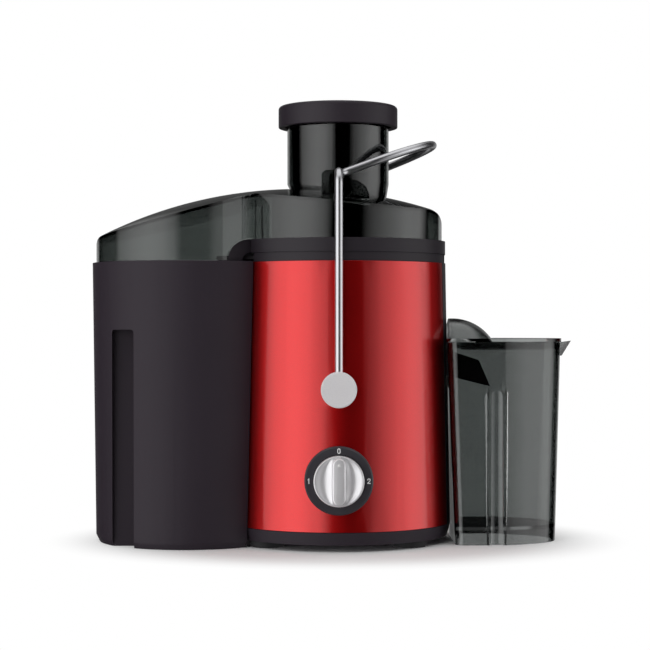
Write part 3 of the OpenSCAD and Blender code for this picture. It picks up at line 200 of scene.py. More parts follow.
def studio_floor():
    bpy.ops.mesh.primitive_circle_add(vertices=96, radius=FLOOR_R, fill_type="NGON")
    floor = bpy.context.object
    floor.name = "floor"
    material = bpy.data.materials.new("pale floor")
    material.use_nodes = True
    tree = material.node_tree
    tree.nodes.clear()
    diffuse = tree.nodes.new("ShaderNodeBsdfDiffuse")
    rays = tree.nodes.new("ShaderNodeLightPath")
    through = rays.outputs["Is Transmission Ray"]
    seen = value_node(tree, "MAXIMUM", rays.outputs["Is Camera Ray"], through)
    tree.links.new(blend_node(tree, seen, FLOOR_PALE, FLOOR_SEEN), diffuse.inputs["Color"])
    shadow = tree.nodes.new("ShaderNodeMapping")
    shadow.inputs["Scale"].default_value = (1 / SHADOW_HALF_X, 1 / SHADOW_HALF_Y, 1)
    tree.links.new(object_place(tree), shadow.inputs["Vector"])
    reach = tree.nodes.new("ShaderNodeVectorMath")
    reach.operation = "LENGTH"
    tree.links.new(shadow.outputs["Vector"], reach.inputs[0])
    outside = fade_node(tree, reach.outputs["Value"], *SHADOW_FADE)
    white = tree.nodes.new("ShaderNodeEmission")
    lit = tree.nodes.new("ShaderNodeMixShader")
    tree.links.new(times(tree, outside, seen), lit.inputs["Fac"])
    tree.links.new(diffuse.outputs[0], lit.inputs[1])
    tree.links.new(white.outputs[0], lit.inputs[2])
    clear = tree.nodes.new("ShaderNodeBsdfTransparent")
    mixed = tree.nodes.new("ShaderNodeMixShader")
    tree.links.new(rays.outputs["Is Glossy Ray"], mixed.inputs["Fac"])
    tree.links.new(lit.outputs[0], mixed.inputs[1])
    tree.links.new(clear.outputs[0], mixed.inputs[2])
    tree.links.new(mixed.outputs[0], tree.nodes.new("ShaderNodeOutputMaterial").inputs["Surface"])
    floor.data.materials.append(material)


studio_floor()

# ---- Base plate and feet ----
# The base is a shallow moulded ring of matt black plastic with a vented floor. Four soft rubber
# feet are pressed into its pockets, and four plated screws hold the housing's posts from below.

BASE_BLACK = (0.030, 0.022, 0.031)
RUBBER_BLACK = (0.018, 0.018, 0.020)
ZINC = (0.55, 0.55, 0.56)
EDGE_ROUND = 0.5 * MM
EDGE_ANGLE = math.radians(30)
FLAT_ANGLE = math.radians(0.3)
CLOUD_SCALE = 22.0
SPECK_TONE = 0.24
LINE_SCALE = 6.0
MARK_SCALE = 45.0
MARK_TONE = 0.1


def shader_group(name, inputs, outputs):
    """An empty shader node group with named sockets, and its two end nodes."""
    group = bpy.data.node_groups.new(name, "ShaderNodeTree")
    kinds = {"Colour": "NodeSocketColor", "Normal": "NodeSocketVector", "Stretch": "NodeSocketVector"}
    for label, default in inputs.items():
        kind = kinds.get(label, "NodeSocketFloat")
        socket = group.interface.new_socket(label, in_out="INPUT", socket_type=kind)
        socket.default_value = default
    for label in outputs:
        kind = kinds.get(label, "NodeSocketFloat")
        group.interface.new_socket(label, in_out="OUTPUT", socket_type=kind)
    return group, group.nodes.new("NodeGroupInput"), group.nodes.new("NodeGroupOutput")


def noise_node(tree, scale, detail, stretch=None):
    """Noise on Object coordinates, which may be stretched along the axes."""
    noise = tree.nodes.new("ShaderNodeTexNoise")
    noise.inputs["Detail"].default_value = detail
    place = object_place(tree)
    if stretch is not None:
        stretched = tree.nodes.new("ShaderNodeVectorMath")
        stretched.operation = "MULTIPLY"
        tree.links.new(place, stretched.inputs[0])
        tree.links.new(stretch, stretched.inputs[1])
        place = stretched.outputs[0]
    tree.links.new(place, noise.inputs["Vector"])
    if isinstance(scale, bpy.types.NodeSocket):
        tree.links.new(scale, noise.inputs["Scale"])
    else:
        noise.inputs["Scale"].default_value = scale
    return noise.outputs["Fac"]


def bump_node(tree, height, distance):
    bump = tree.nodes.new("ShaderNodeBump")
    tree.links.new(height, bump.inputs["Height"])
    if isinstance(distance, bpy.types.NodeSocket):
        tree.links.new(distance, bump.inputs["Distance"])
    else:
        bump.inputs["Distance"].default_value = distance
    return bump.outputs["Normal"]


def tint_node(tree, colour, level):
    """The colour, made lighter or darker by a level round 1."""
    tint = tree.nodes.new("ShaderNodeVectorMath")
    tint.operation = "SCALE"
    tree.links.new(colour, tint.inputs[0])
    tree.links.new(level, tint.inputs["Scale"])
    return tint.outputs[0]


def moulded_grain_group():
    """Spark-eroded grain of a mould, with faint clouds in tone and gloss."""
    inputs = {"Colour": (0.05, 0.05, 0.05, 1), "Roughness": 0.5, "Grain": 1600.0, "Depth": 0.00002,
              "Clouds": 0.06}
    group, start, end = shader_group("moulded grain", inputs, ["Colour", "Roughness", "Normal"])
    fine = noise_node(group, start.outputs["Grain"], 2.0)
    broad = noise_node(group, CLOUD_SCALE, 3.0)
    sway = times(group, minus(group, broad, 0.5), start.outputs["Clouds"])
    level = plus(group, times(group, sway, 2.0), 1.0)
    speck = times(group, minus(group, fine, 0.5), SPECK_TONE)
    tone = plus(group, level, speck)
    group.links.new(tint_node(group, start.outputs["Colour"], tone), end.inputs["Colour"])
    group.links.new(plus(group, start.outputs["Roughness"], sway), end.inputs["Roughness"])
    group.links.new(bump_node(group, fine, start.outputs["Depth"]), end.inputs["Normal"])
    return group


def drawn_metal_group():
    """Fine lines along the way a metal was drawn, turned or brushed, with a few handling marks."""
    inputs = {"Colour": (0.6, 0.6, 0.6, 1), "Roughness": 0.3, "Stretch": (300.0, 300.0, 20.0),
              "Lines": 0.1, "Depth": 0.00001}
    group, start, end = shader_group("drawn metal", inputs, ["Colour", "Roughness", "Normal"])
    lines = noise_node(group, LINE_SCALE, 4.0, start.outputs["Stretch"])
    marks = noise_node(group, MARK_SCALE, 4.0)
    sway = times(group, minus(group, lines, 0.5), start.outputs["Lines"])
    smear = times(group, minus(group, marks, 0.5), MARK_TONE)
    level = plus(group, plus(group, sway, smear), 1.0)
    rough = plus(group, start.outputs["Roughness"], plus(group, sway, smear))
    group.links.new(tint_node(group, start.outputs["Colour"], level), end.inputs["Colour"])
    group.links.new(value_node(group, "MAXIMUM", rough, 0.03), end.inputs["Roughness"])
    group.links.new(bump_node(group, lines, start.outputs["Depth"]), end.inputs["Normal"])
    return group


moulded_grain = moulded_grain_group()
drawn_metal = drawn_metal_group()


def finish(name, colour, roughness, metallic=0.0, **sockets):
    """A material with the plain values of a finish on its Principled shader."""
    material = bpy.data.materials.new(name)
    material.use_nodes = True
    shader = material.node_tree.nodes["Principled BSDF"]
    shader.inputs["Base Color"].default_value = (*colour, 1)
    shader.inputs["Roughness"].default_value = roughness
    shader.inputs["Metallic"].default_value = metallic
    for label, value in sockets.items():
        shader.inputs[label.replace("_", " ")].default_value = value
    return material


def add_effect(material, group, sockets, **values):
    """Puts an effect group in front of the material's shader."""
    tree = material.node_tree
    effect = tree.nodes.new("ShaderNodeGroup")
    effect.node_tree = group
    for label, value in values.items():
        effect.inputs[label].default_value = value
    for label, socket in sockets.items():
        tree.links.new(effect.outputs[label], tree.nodes["Principled BSDF"].inputs[socket])
    return material


SURFACE = {"Colour": "Base Color", "Roughness": "Roughness", "Normal": "Normal"}


def moulding(name, colour, roughness, grain=1600.0, depth=0.00002, clouds=0.06, **sockets):
    """A moulded plastic or rubber: its finish and the mould's grain."""
    material = finish(name, colour, roughness, **sockets)
    return add_effect(material, moulded_grain, SURFACE, Colour=(*colour, 1), Roughness=roughness,
                      Grain=grain, Depth=depth, Clouds=clouds)


def worked_metal(name, colour, roughness, stretch=(300, 300, 20), lines=0.1, depth=0.00001, **sockets):
    """A bare metal: its finish and the lines of its making."""
    material = finish(name, colour, roughness, 1.0, **sockets)
    return add_effect(material, drawn_metal, SURFACE, Colour=(*colour, 1), Roughness=roughness,
                      Stretch=stretch, Lines=lines, Depth=depth)


def dress(material, *nodes):
    """Gives CAD nodes that keep their shape the material of their finish."""
    for node in nodes:
        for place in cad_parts[node].material_slots:
            place.material = material


def smooth_mesh(mesh):
    mesh.shade_smooth()
    mesh.set_sharp_from_angle(angle=EDGE_ANGLE)


def made_mesh(piece):
    """The mesh of a piece with its modifiers worked in. The helper object is removed."""
    bpy.context.view_layer.update()
    mesh = bpy.data.meshes.new_from_object(piece.evaluated_get(bpy.context.evaluated_depsgraph_get()))
    bpy.data.objects.remove(piece)
    return mesh


def skin_of(mesh):
    """The mesh opened for editing. It goes back with put_back."""
    skin = bmesh.new()
    skin.from_mesh(mesh)
    return skin


def put_back(skin, mesh):
    skin.to_mesh(mesh)
    skin.free()
    return mesh


def new_mesh(skin, name):
    return put_back(skin, bpy.data.meshes.new(name))


def merged_copy(node, flat=FLAT_ANGLE):
    """A node's mesh as one welded skin, with its flat faces whole."""
    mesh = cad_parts[node].data.copy()
    if "custom_normal" in mesh.attributes:
        mesh.attributes.remove(mesh.attributes["custom_normal"])
    skin = skin_of(mesh)
    bmesh.ops.remove_doubles(skin, verts=skin.verts, dist=0.002 * MM)
    bmesh.ops.dissolve_limit(skin, angle_limit=flat, verts=skin.verts, edges=skin.edges)
    return put_back(skin, mesh)


def rounded(mesh, radius=EDGE_ROUND, steps=3):
    """The mesh with its sharp edges rounded, as a mould or a press leaves them."""
    piece = bpy.data.objects.new("rounding", mesh)
    scene.collection.objects.link(piece)
    mesh.shade_smooth()
    edges = piece.modifiers.new("edges", "BEVEL")
    edges.width = radius
    edges.segments = steps
    edges.limit_method = "ANGLE"
    edges.angle_limit = EDGE_ANGLE
    edges.use_clamp_overlap = True
    edges.miter_outer = "MITER_ARC"
    weights = piece.modifiers.new("weights", "WEIGHTED_NORMAL")
    weights.keep_sharp = True
    return made_mesh(piece)


def piece_of(name, mesh, material, body, slot, *nodes):
    """A finished piece that rides on its body and stands for its nodes."""
    mesh.materials.clear()
    mesh.materials.append(material)
    piece = bpy.data.objects.new(name, mesh)
    scene.collection.objects.link(piece)
    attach(piece, body)
    if nodes:
        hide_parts(*nodes)
    return piece


def geometry_tree(name, inputs):
    """A Geometry Nodes tree with a mesh input and named sizes, and its two end nodes."""
    tree = bpy.data.node_groups.new(name, "GeometryNodeTree")
    tree.interface.new_socket("Geometry", in_out="INPUT", socket_type="NodeSocketGeometry")
    for label, default in inputs.items():
        kind = "NodeSocketInt" if isinstance(default, int) else "NodeSocketFloat"
        tree.interface.new_socket(label, in_out="INPUT", socket_type=kind).default_value = default
    tree.interface.new_socket("Material", in_out="INPUT", socket_type="NodeSocketMaterial")
    tree.interface.new_socket("Geometry", in_out="OUTPUT", socket_type="NodeSocketGeometry")
    return tree, tree.nodes.new("NodeGroupInput"), tree.nodes.new("NodeGroupOutput")


def finish_tree(tree, start, end, result):
    """Ends a tree in Realize Instances and Set Material."""
    realize = tree.nodes.new("GeometryNodeRealizeInstances")
    paint = tree.nodes.new("GeometryNodeSetMaterial")
    tree.links.new(result, realize.inputs[0])
    tree.links.new(realize.outputs[0], paint.inputs["Geometry"])
    tree.links.new(start.outputs["Material"], paint.inputs["Material"])
    tree.links.new(paint.outputs[0], end.inputs[0])


def grown(tree, mesh, material, **sizes):
    """The mesh that a tree makes from a starting mesh with the given sizes."""
    piece = bpy.data.objects.new("growing", mesh)
    scene.collection.objects.link(piece)
    nodes = piece.modifiers.new("nodes", "NODES")
    nodes.node_group = tree
    values = dict(sizes, Material=material)
    for socket in tree.interface.items_tree:
        label = socket.name.replace(" ", "_")
        if socket.in_out == "INPUT" and label in values:
            nodes[socket.identifier] = values[label]
    return made_mesh(piece)


def ring_of_parts_tree():
    """Copies of a part, upright, at equal steps round the drive axis."""
    sizes = {"Count": 4, "Ring Radius": 0.063, "First Turn": 0.0}
    tree, start, end = geometry_tree("ring of parts", sizes)
    ring = tree.nodes.new("GeometryNodeMeshCircle")
    tree.links.new(start.outputs["Count"], ring.inputs["Vertices"])
    tree.links.new(start.outputs["Ring Radius"], ring.inputs["Radius"])
    turned = tree.nodes.new("GeometryNodeTransform")
    turn = tree.nodes.new("ShaderNodeCombineXYZ")
    tree.links.new(start.outputs["First Turn"], turn.inputs["Z"])
    tree.links.new(ring.outputs["Mesh"], turned.inputs["Geometry"])
    tree.links.new(turn.outputs[0], turned.inputs["Rotation"])
    copies = tree.nodes.new("GeometryNodeInstanceOnPoints")
    tree.links.new(turned.outputs[0], copies.inputs["Points"])
    tree.links.new(start.outputs["Geometry"], copies.inputs["Instance"])
    finish_tree(tree, start, end, copies.outputs[0])
    return tree


ring_of_parts = ring_of_parts_tree()


def revolved(profile, count=32):
    """A solid turned round Z from a profile of radius and height, with both ends on the axis."""
    skin = bmesh.new()
    loops = []
    for r, z in profile[1:-1]:
        loops.append([skin.verts.new((r * math.cos(a), r * math.sin(a), z))
                      for a in (2 * math.pi * i / count for i in range(count))])
    tips = [skin.verts.new((0, 0, profile[0][1])), skin.verts.new((0, 0, profile[-1][1]))]
    for first, second in zip(loops, loops[1:]):
        for i in range(count):
            skin.faces.new((first[i], first[(i + 1) % count], second[(i + 1) % count], second[i]))
    for i in range(count):
        skin.faces.new((tips[0], loops[0][(i + 1) % count], loops[0][i]))
        skin.faces.new((tips[1], loops[-1][i], loops[-1][(i + 1) % count]))
    bmesh.ops.recalc_face_normals(skin, faces=skin.faces)
    return skin


# The head's outline, as shares of its radius and height, and the rolled thread
SCREW_HEAD = [(0, 0), (0.55, 0), (0.72, 0), (0.93, 0.3), (1, 0.7), (1, 1)]
RECESS_DEPTH = 0.6
THREAD_PITCH = 0.9 * MM
THREAD_ROOT = 0.8
POINT_LENGTH = 1.2 * MM
POINT_SHARE = 0.25


def screw_mesh(head_r, head_h, shank_r, low_z, high_z):
    """A pan-head screw, head down, with a cross recess pressed in and a rolled thread."""
    recess = SCREW_HEAD[1][0] * head_r
    profile = [(r * head_r, low_z + h * head_h) for r, h in SCREW_HEAD]
    profile.append((shank_r, low_z + head_h))
    root = THREAD_ROOT * shank_r
    z = low_z + head_h
    while z + 1.5 * THREAD_PITCH < high_z - POINT_LENGTH:
        profile.append((root, z + 0.35 * THREAD_PITCH))
        profile.append((shank_r, z + 0.85 * THREAD_PITCH))
        profile.append((shank_r, z + THREAD_PITCH))
        z += THREAD_PITCH
    profile += [(root, high_z - POINT_LENGTH), (POINT_SHARE * shank_r, high_z), (0, high_z)]
    skin = revolved(profile)
    for vert in skin.verts:
        near = vert.co.xy.length < 1.01 * recess and vert.co.z < low_z + 0.01 * head_h
        cross = min(abs(vert.co.x), abs(vert.co.y)) < 0.2 * recess
        if near and cross:
            vert.co.z += RECESS_DEPTH * head_h
    mesh = new_mesh(skin, "screw")
    smooth_mesh(mesh)
    return mesh


def ring_of_screws(name, node, material, count, first_turn, head_h, shank_r, head_r):
    """Screws in the places of a node that holds a ring of them."""
    low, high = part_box(node)
    ring_r = (high.x - head_r) / math.cos(first_turn)
    screw = screw_mesh(head_r, head_h, shank_r, low.z, high.z)
    mesh = grown(ring_of_parts, screw, material, Count=count, Ring_Radius=ring_r, First_Turn=first_turn)
    return piece_of(name, mesh, material, "motor_unit", "zinc_screw", node)


base_black = moulding("base black", BASE_BLACK, 0.55, Specular_IOR_Level=0.3)
soft_rubber = moulding("soft rubber", RUBBER_BLACK, 0.75, grain=900.0, depth=0.00004)
zinc_plate = worked_metal("zinc plate", ZINC, 0.35, stretch=(200, 200, 200), lines=0.15)

piece_of("base_ring", rounded(merged_copy("base_plate"), 0.6 * MM), base_black,
         "motor_unit", "black_base", "base_plate")
piece_of("rubber_feet", rounded(merged_copy("feet"), 0.6 * MM), soft_rubber,
         "motor_unit", "black_rubber", "feet")
ring_of_screws("base_screw_ring", "base_screws", zinc_plate, count=4, first_turn=0.0,
               head_h=1.6 * MM, shank_r=1.8 * MM, head_r=3.4 * MM)
ring_of_screws("mount_screw_ring", "mount_screws", zinc_plate, count=4, first_turn=math.pi / 4,
               head_h=2.0 * MM, shank_r=1.9 * MM, head_r=3.5 * MM)
dress(zinc_plate, "motor_screws")

# ---- Housing ----
# The housing is one matt black moulding: a tapered wall inside the red wrap, a bare strip on the
# jug's side, the bosses of the clamp's pivots and the rim that carries the bowl's collar.

HOUSING_BLACK = (0.023, 0.018, 0.024)

housing_black = moulding("housing black", HOUSING_BLACK, 0.5, Specular_IOR_Level=0.3)
piece_of("housing_shell", rounded(merged_copy("inner_housing"), 0.4 * MM, 2), housing_black,
         "motor_unit", "black_housing", "inner_housing")
piece_of("deck_and_tower", rounded(merged_copy("motor_deck"), steps=2), housing_black,
         "motor_unit", "black_housing", "motor_deck")

# ---- Red wrap ----
# A thin sheet-steel wrap is rolled round the housing. It carries a metallic red base coat and a
# clear lacquer, which mirrors the room softly.

PAINT_RED = (0.58, 0.0075, 0.0085)
PAINT_FLAKE = 5200.0
PAINT_ROUGHNESS = 0.4
FLAKE_BUMP = 0.004 * MM


def flake_paint_group():
    """Metal flakes that lie a little out of true in the base coat."""
    inputs = {"Colour": (0.7, 0.01, 0.01, 1), "Roughness": 0.36, "Grain": 5000.0, "Depth": 0.15}
    group, start, end = shader_group("flake paint", inputs, ["Colour", "Roughness", "Normal"])
    cells = group.nodes.new("ShaderNodeTexVoronoi")
    group.links.new(object_place(group), cells.inputs["Vector"])
    group.links.new(start.outputs["Grain"], cells.inputs["Scale"])
    split = group.nodes.new("ShaderNodeSeparateColor")
    group.links.new(cells.outputs["Color"], split.inputs[0])
    spread = minus(group, split.outputs[0], 0.5)
    level = plus(group, times(group, spread, start.outputs["Depth"]), 1.0)
    cloud = minus(group, noise_node(group, 30.0, 2.0), 0.5)
    rough = plus(group, start.outputs["Roughness"], times(group, cloud, 0.04))
    group.links.new(tint_node(group, start.outputs["Colour"], level), end.inputs["Colour"])
    group.links.new(rough, end.inputs["Roughness"])
    group.links.new(bump_node(group, split.outputs[1], FLAKE_BUMP), end.inputs["Normal"])
    return group


flake_paint = flake_paint_group()
wrap_red = finish("metallic red", PAINT_RED, PAINT_ROUGHNESS, metallic=0.95,
                  Coat_Weight=1.0, Coat_Roughness=0.13, Coat_IOR=1.5)
add_effect(wrap_red, flake_paint, SURFACE, Colour=(*PAINT_RED, 1), Roughness=PAINT_ROUGHNESS,
           Grain=PAINT_FLAKE, Depth=0.2)
piece_of("steel_wrap", rounded(merged_copy("body_wrap"), 0.25 * MM, 2), wrap_red,
         "motor_unit", "red_wrap", "body_wrap")

# ---- Mains inlet and wiring ----
# A rubber gland closes the lead's hole in the wall. Inside, a terminal block and insulated leads
# go to the switch and the brushes.

IVORY = (0.70, 0.66, 0.56)
LEAD_BROWN = (0.16, 0.055, 0.03)

ivory_plastic = moulding("ivory plastic", IVORY, 0.42, grain=1200.0)
lead_cover = moulding("lead cover", LEAD_BROWN, 0.45, grain=700.0)
piece_of("inlet_gland", rounded(merged_copy("cord_gland")), soft_rubber,
         "motor_unit", "black_rubber", "cord_gland")
dress(ivory_plastic, "terminal_block", "speed_switch", "drive_coupling", "interlock_cam")
dress(lead_cover, "internal_leads")

# ---- Control knob ----
# A satin silver knob turns in a black bezel with white numerals. Its face is dished on both
# sides of a raised grip bar with round ends, and a white dot marks the bar's upper end.

BEZEL_BLACK = (0.034, 0.030, 0.038)
KNOB_SILVER = (0.84, 0.83, 0.85)
PRINT_WHITE = (0.88, 0.88, 0.88)
knob_low, knob_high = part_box("control_knob")
KNOB_Z = (knob_low.z + knob_high.z) / 2
KNOB_R = (knob_high.x - knob_low.x) / 2
KNOB_BACK_Y = knob_high.y
GRIP_FRONT_Y = knob_low.y + 0.25 * MM
KNOB_FACE_Y = knob_low.y + 5.2 * MM
GRIP_HALF_W = 4.85 * MM
GRIP_HALF_L = 16.1 * MM
GRIP_EDGE = 1.1 * MM
GRIP_TAPER = 0.5 * MM
GRIP_FOOT = 1.6 * MM
DISC_CORNER = 0.7 * MM
DISH_DEPTH = 1.3 * MM
DISH_REACH = 9.5 * MM
DISH_SHAPE = 1.3
RIM_FLAT = 1.0 * MM
DOT_R = 1.0 * MM
DOT_DOME = 0.2 * MM


def ring_of(mesh, radius, y, count):
    """A ring of vertices round the knob's axis."""
    turn = [2 * math.pi * i / count for i in range(count)]
    return [mesh.verts.new((radius * math.sin(a), y, KNOB_Z + radius * math.cos(a))) for a in turn]


def bridge(mesh, first, second):
    count = len(first)
    for i in range(count):
        mesh.faces.new((first[i], first[(i + 1) % count], second[(i + 1) % count], second[i]))


def dished_face(x, r):
    """How deep the knob's face is scooped: nothing at the rim and next to the bar."""
    inner = GRIP_HALF_W - 0.5 * MM
    outer = KNOB_R - RIM_FLAT
    if r >= outer:
        return 0.0
    reach = math.sqrt(max(outer ** 2 - max(r ** 2 - x ** 2, 0.0), 0.0))
    share = (abs(x) - inner) / max(reach - inner, 0.001 * MM)
    share = min(max(share, 0.0), 1.0)
    fullness = min((reach - inner) / DISH_REACH, 1.0)
    return DISH_DEPTH * (math.sin(math.pi * share) ** DISH_SHAPE) * fullness


def knob_disc():
    mesh = bmesh.new()
    count = 128
    steps = 26
    rings = []
    for k in range(1, steps + 1):
        radius = (KNOB_R - DISC_CORNER) * k / steps
        ring = ring_of(mesh, radius, KNOB_FACE_Y, count)
        for vert in ring:
            vert.co.y += dished_face(vert.co.x, radius)
        rings.append(ring)
    middle = mesh.verts.new((0, KNOB_FACE_Y, KNOB_Z))
    for i in range(count):
        mesh.faces.new((middle, rings[0][(i + 1) % count], rings[0][i]))
    for inner, outer in zip(rings, rings[1:]):
        bridge(mesh, inner, outer)
    last = rings[-1]
    for k in range(1, 5):
        turn = math.pi / 2 * k / 4
        ring = ring_of(mesh, KNOB_R - DISC_CORNER + DISC_CORNER * math.sin(turn),
                       KNOB_FACE_Y + DISC_CORNER - DISC_CORNER * math.cos(turn), count)
        bridge(mesh, last, ring)
        last = ring
    back = ring_of(mesh, KNOB_R, KNOB_BACK_Y, count)
    bridge(mesh, last, back)
    mesh.faces.new(back)
    bmesh.ops.recalc_face_normals(mesh, faces=mesh.faces)
    return mesh


def grip_bar(mesh):
    """The raised bar: a stadium outline with steep flanks and a rounded top edge."""
    arc = 16
    outline = []
    for end in (1, -1):
        for k in range(arc + 1):
            turn = math.pi * k / arc
            outline.append((end * math.cos(turn), end * math.sin(turn), end))
    straight = GRIP_HALF_L - GRIP_HALF_W

    def loop(inset, y):
        half = GRIP_HALF_W - inset
        return [mesh.verts.new((half * c, y, KNOB_Z + e * straight + half * s)) for c, s, e in outline]

    loops = [loop(0.0, KNOB_FACE_Y + GRIP_FOOT), loop(GRIP_TAPER, GRIP_FRONT_Y + GRIP_EDGE)]
    for k in range(1, 6):
        turn = math.pi / 2 * k / 5
        loops.append(loop(GRIP_TAPER + GRIP_EDGE * (1 - math.cos(turn)),
                          GRIP_FRONT_Y + GRIP_EDGE * (1 - math.sin(turn))))
    for first, second in zip(loops, loops[1:]):
        bridge(mesh, first, second)
    mesh.faces.new(loops[0])
    mesh.faces.new(loops[-1])
    bmesh.ops.recalc_face_normals(mesh, faces=mesh.faces)


def dot_mesh():
    """A low dome of paint on the bar."""
    low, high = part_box("knob_pointer")
    edge = high.y - low.y - DOT_DOME
    profile = [(0, 0), (DOT_R, 0), (DOT_R, edge)]
    for k in range(1, 6):
        turn = math.pi / 2 * k / 6
        profile.append((DOT_R * math.cos(turn), edge + DOT_DOME * math.sin(turn)))
    skin = revolved(profile + [(0, edge + DOT_DOME)], 24)
    for vert in skin.verts:
        x, y, z = vert.co
        vert.co = (x, high.y - z, (low.z + high.z) / 2 + y)
    mesh = new_mesh(skin, "dot")
    smooth_mesh(mesh)
    return mesh


def knob_mesh():
    skin = knob_disc()
    grip_bar(skin)
    mesh = new_mesh(skin, "knob")
    smooth_mesh(mesh)
    return mesh


bezel_black = moulding("bezel black", BEZEL_BLACK, 0.42, depth=0.00001)
satin_silver = worked_metal("satin silver", KNOB_SILVER, 0.34, stretch=(40, 40, 900), lines=0.06,
                            Metallic=0.48)
print_white = moulding("white print", PRINT_WHITE, 0.5, grain=2500.0)
turned_steel = worked_metal("turned steel", (0.52, 0.52, 0.54), 0.28, stretch=(30, 900, 30))

piece_of("dial_bezel", rounded(merged_copy("knob_bezel")), bezel_black,
         "motor_unit", "bezel_black", "knob_bezel")
piece_of("silver_knob", knob_mesh(), satin_silver, "control", "satin_silver", "control_knob")
piece_of("knob_dot", dot_mesh(), print_white, "control", "white_print", "knob_pointer")
dress(print_white, "dial_numerals")
dress(turned_steel, "knob_spindle", "motor_shaft", "pivot_pins")

# ---- Motor ----
# A universal motor hangs under the deck: two cast brackets with ball bearings hold the shaft,
# with the laminated stator and armature, their copper windings, the commutator and the brushes.

cast_zinc = worked_metal("cast zinc", (0.50, 0.50, 0.49), 0.5, stretch=(150, 150, 150), lines=0.2)
bearing_steel = worked_metal("bearing steel", (0.60, 0.60, 0.62), 0.16, stretch=(30, 30, 900))
lamination = worked_metal("lamination steel", (0.20, 0.20, 0.22), 0.42, stretch=(6, 6, 2400), lines=0.6,
                          depth=0.00005)
commutator_copper = worked_metal("commutator copper", (0.66, 0.27, 0.12), 0.25, stretch=(20, 20, 1500))
winding_copper = worked_metal("varnished windings", (0.42, 0.14, 0.045), 0.3, stretch=(8, 1100, 1100),
                              lines=0.7, depth=0.0002, Coat_Weight=0.6, Coat_Roughness=0.15)
drawn_brass = worked_metal("drawn brass", (0.66, 0.46, 0.16), 0.3, stretch=(20, 400, 400))
spring_steel = worked_metal("spring steel", (0.42, 0.42, 0.44), 0.3)
pressed_carbon = moulding("pressed carbon", (0.022, 0.022, 0.023), 0.6, grain=2600.0, depth=0.00006)
fan_plastic = moulding("fan plastic", (0.64, 0.62, 0.55), 0.4)
dress(cast_zinc, "lower_bracket", "upper_bracket")
dress(bearing_steel, "lower_bearing", "upper_bearing")
dress(lamination, "stator_core", "armature_core")
dress(commutator_copper, "commutator")
dress(winding_copper, "stator_coils", "armature_windings")
dress(drawn_brass, "brush_holders", "pivot_bushes")
dress(spring_steel, "brush_springs")
dress(pressed_carbon, "carbon_brushes")
dress(fan_plastic, "cooling_fan")
dress(soft_rubber, "rubber_mounts", "shaft_seal")

# ---- Juice bowl ----
# The bowl lies in the housing's rim. Its matt black collar curves down at the cheeks to the pulp
# container, and its spout passes through the housing's notch into the jug.

BOWL_BLACK = (0.023, 0.018, 0.024)

bowl_black = moulding("bowl black", BOWL_BLACK, 0.48, Specular_IOR_Level=0.3)
piece_of("bowl_shell", rounded(merged_copy("juice_bowl")), bowl_black,
         "motor_unit", "bowl_black", "juice_bowl")
piece_of("spout_and_apron", rounded(merged_copy("juice_spout"), 0.4 * MM), bowl_black,
         "motor_unit", "bowl_black", "juice_spout")

# ---- Strainer basket ----
# A cone of perforated stainless sheet is held between a dark hub and a dark rim, with a toothed
# grater disc on its floor.

BASKET_DARK = (0.05, 0.05, 0.055)
STRAINER_LOW_R = 46.9 * MM
STRAINER_TOP_R = 57.9 * MM
STRAINER_SHEET = 0.6 * MM
HOLES_ROUND = 120
HOLE_ROWS = 20
# Half of a hole, as shares of its tile round the cone and up it
HOLE_HALF = (0.27, 0.3)


def pierced_tile():
    """One square of sheet, a unit wide, with an eight-sided hole in its middle."""
    skin = bmesh.new()
    square = [(0, 0), (0.5, 0), (1, 0), (1, 0.5), (1, 1), (0.5, 1), (0, 1), (0, 0.5)]
    outer = [skin.verts.new((x, y, 0)) for x, y in square]
    turns = [math.radians(225 + 45 * i) for i in range(8)]
    inner = [skin.verts.new((0.5 + HOLE_HALF[0] * math.cos(a), 0.5 + HOLE_HALF[1] * math.sin(a), 0))
             for a in turns]
    for i in range(8):
        skin.faces.new((outer[i], outer[(i + 1) % 8], inner[(i + 1) % 8], inner[i]))
    return new_mesh(skin, "tile")


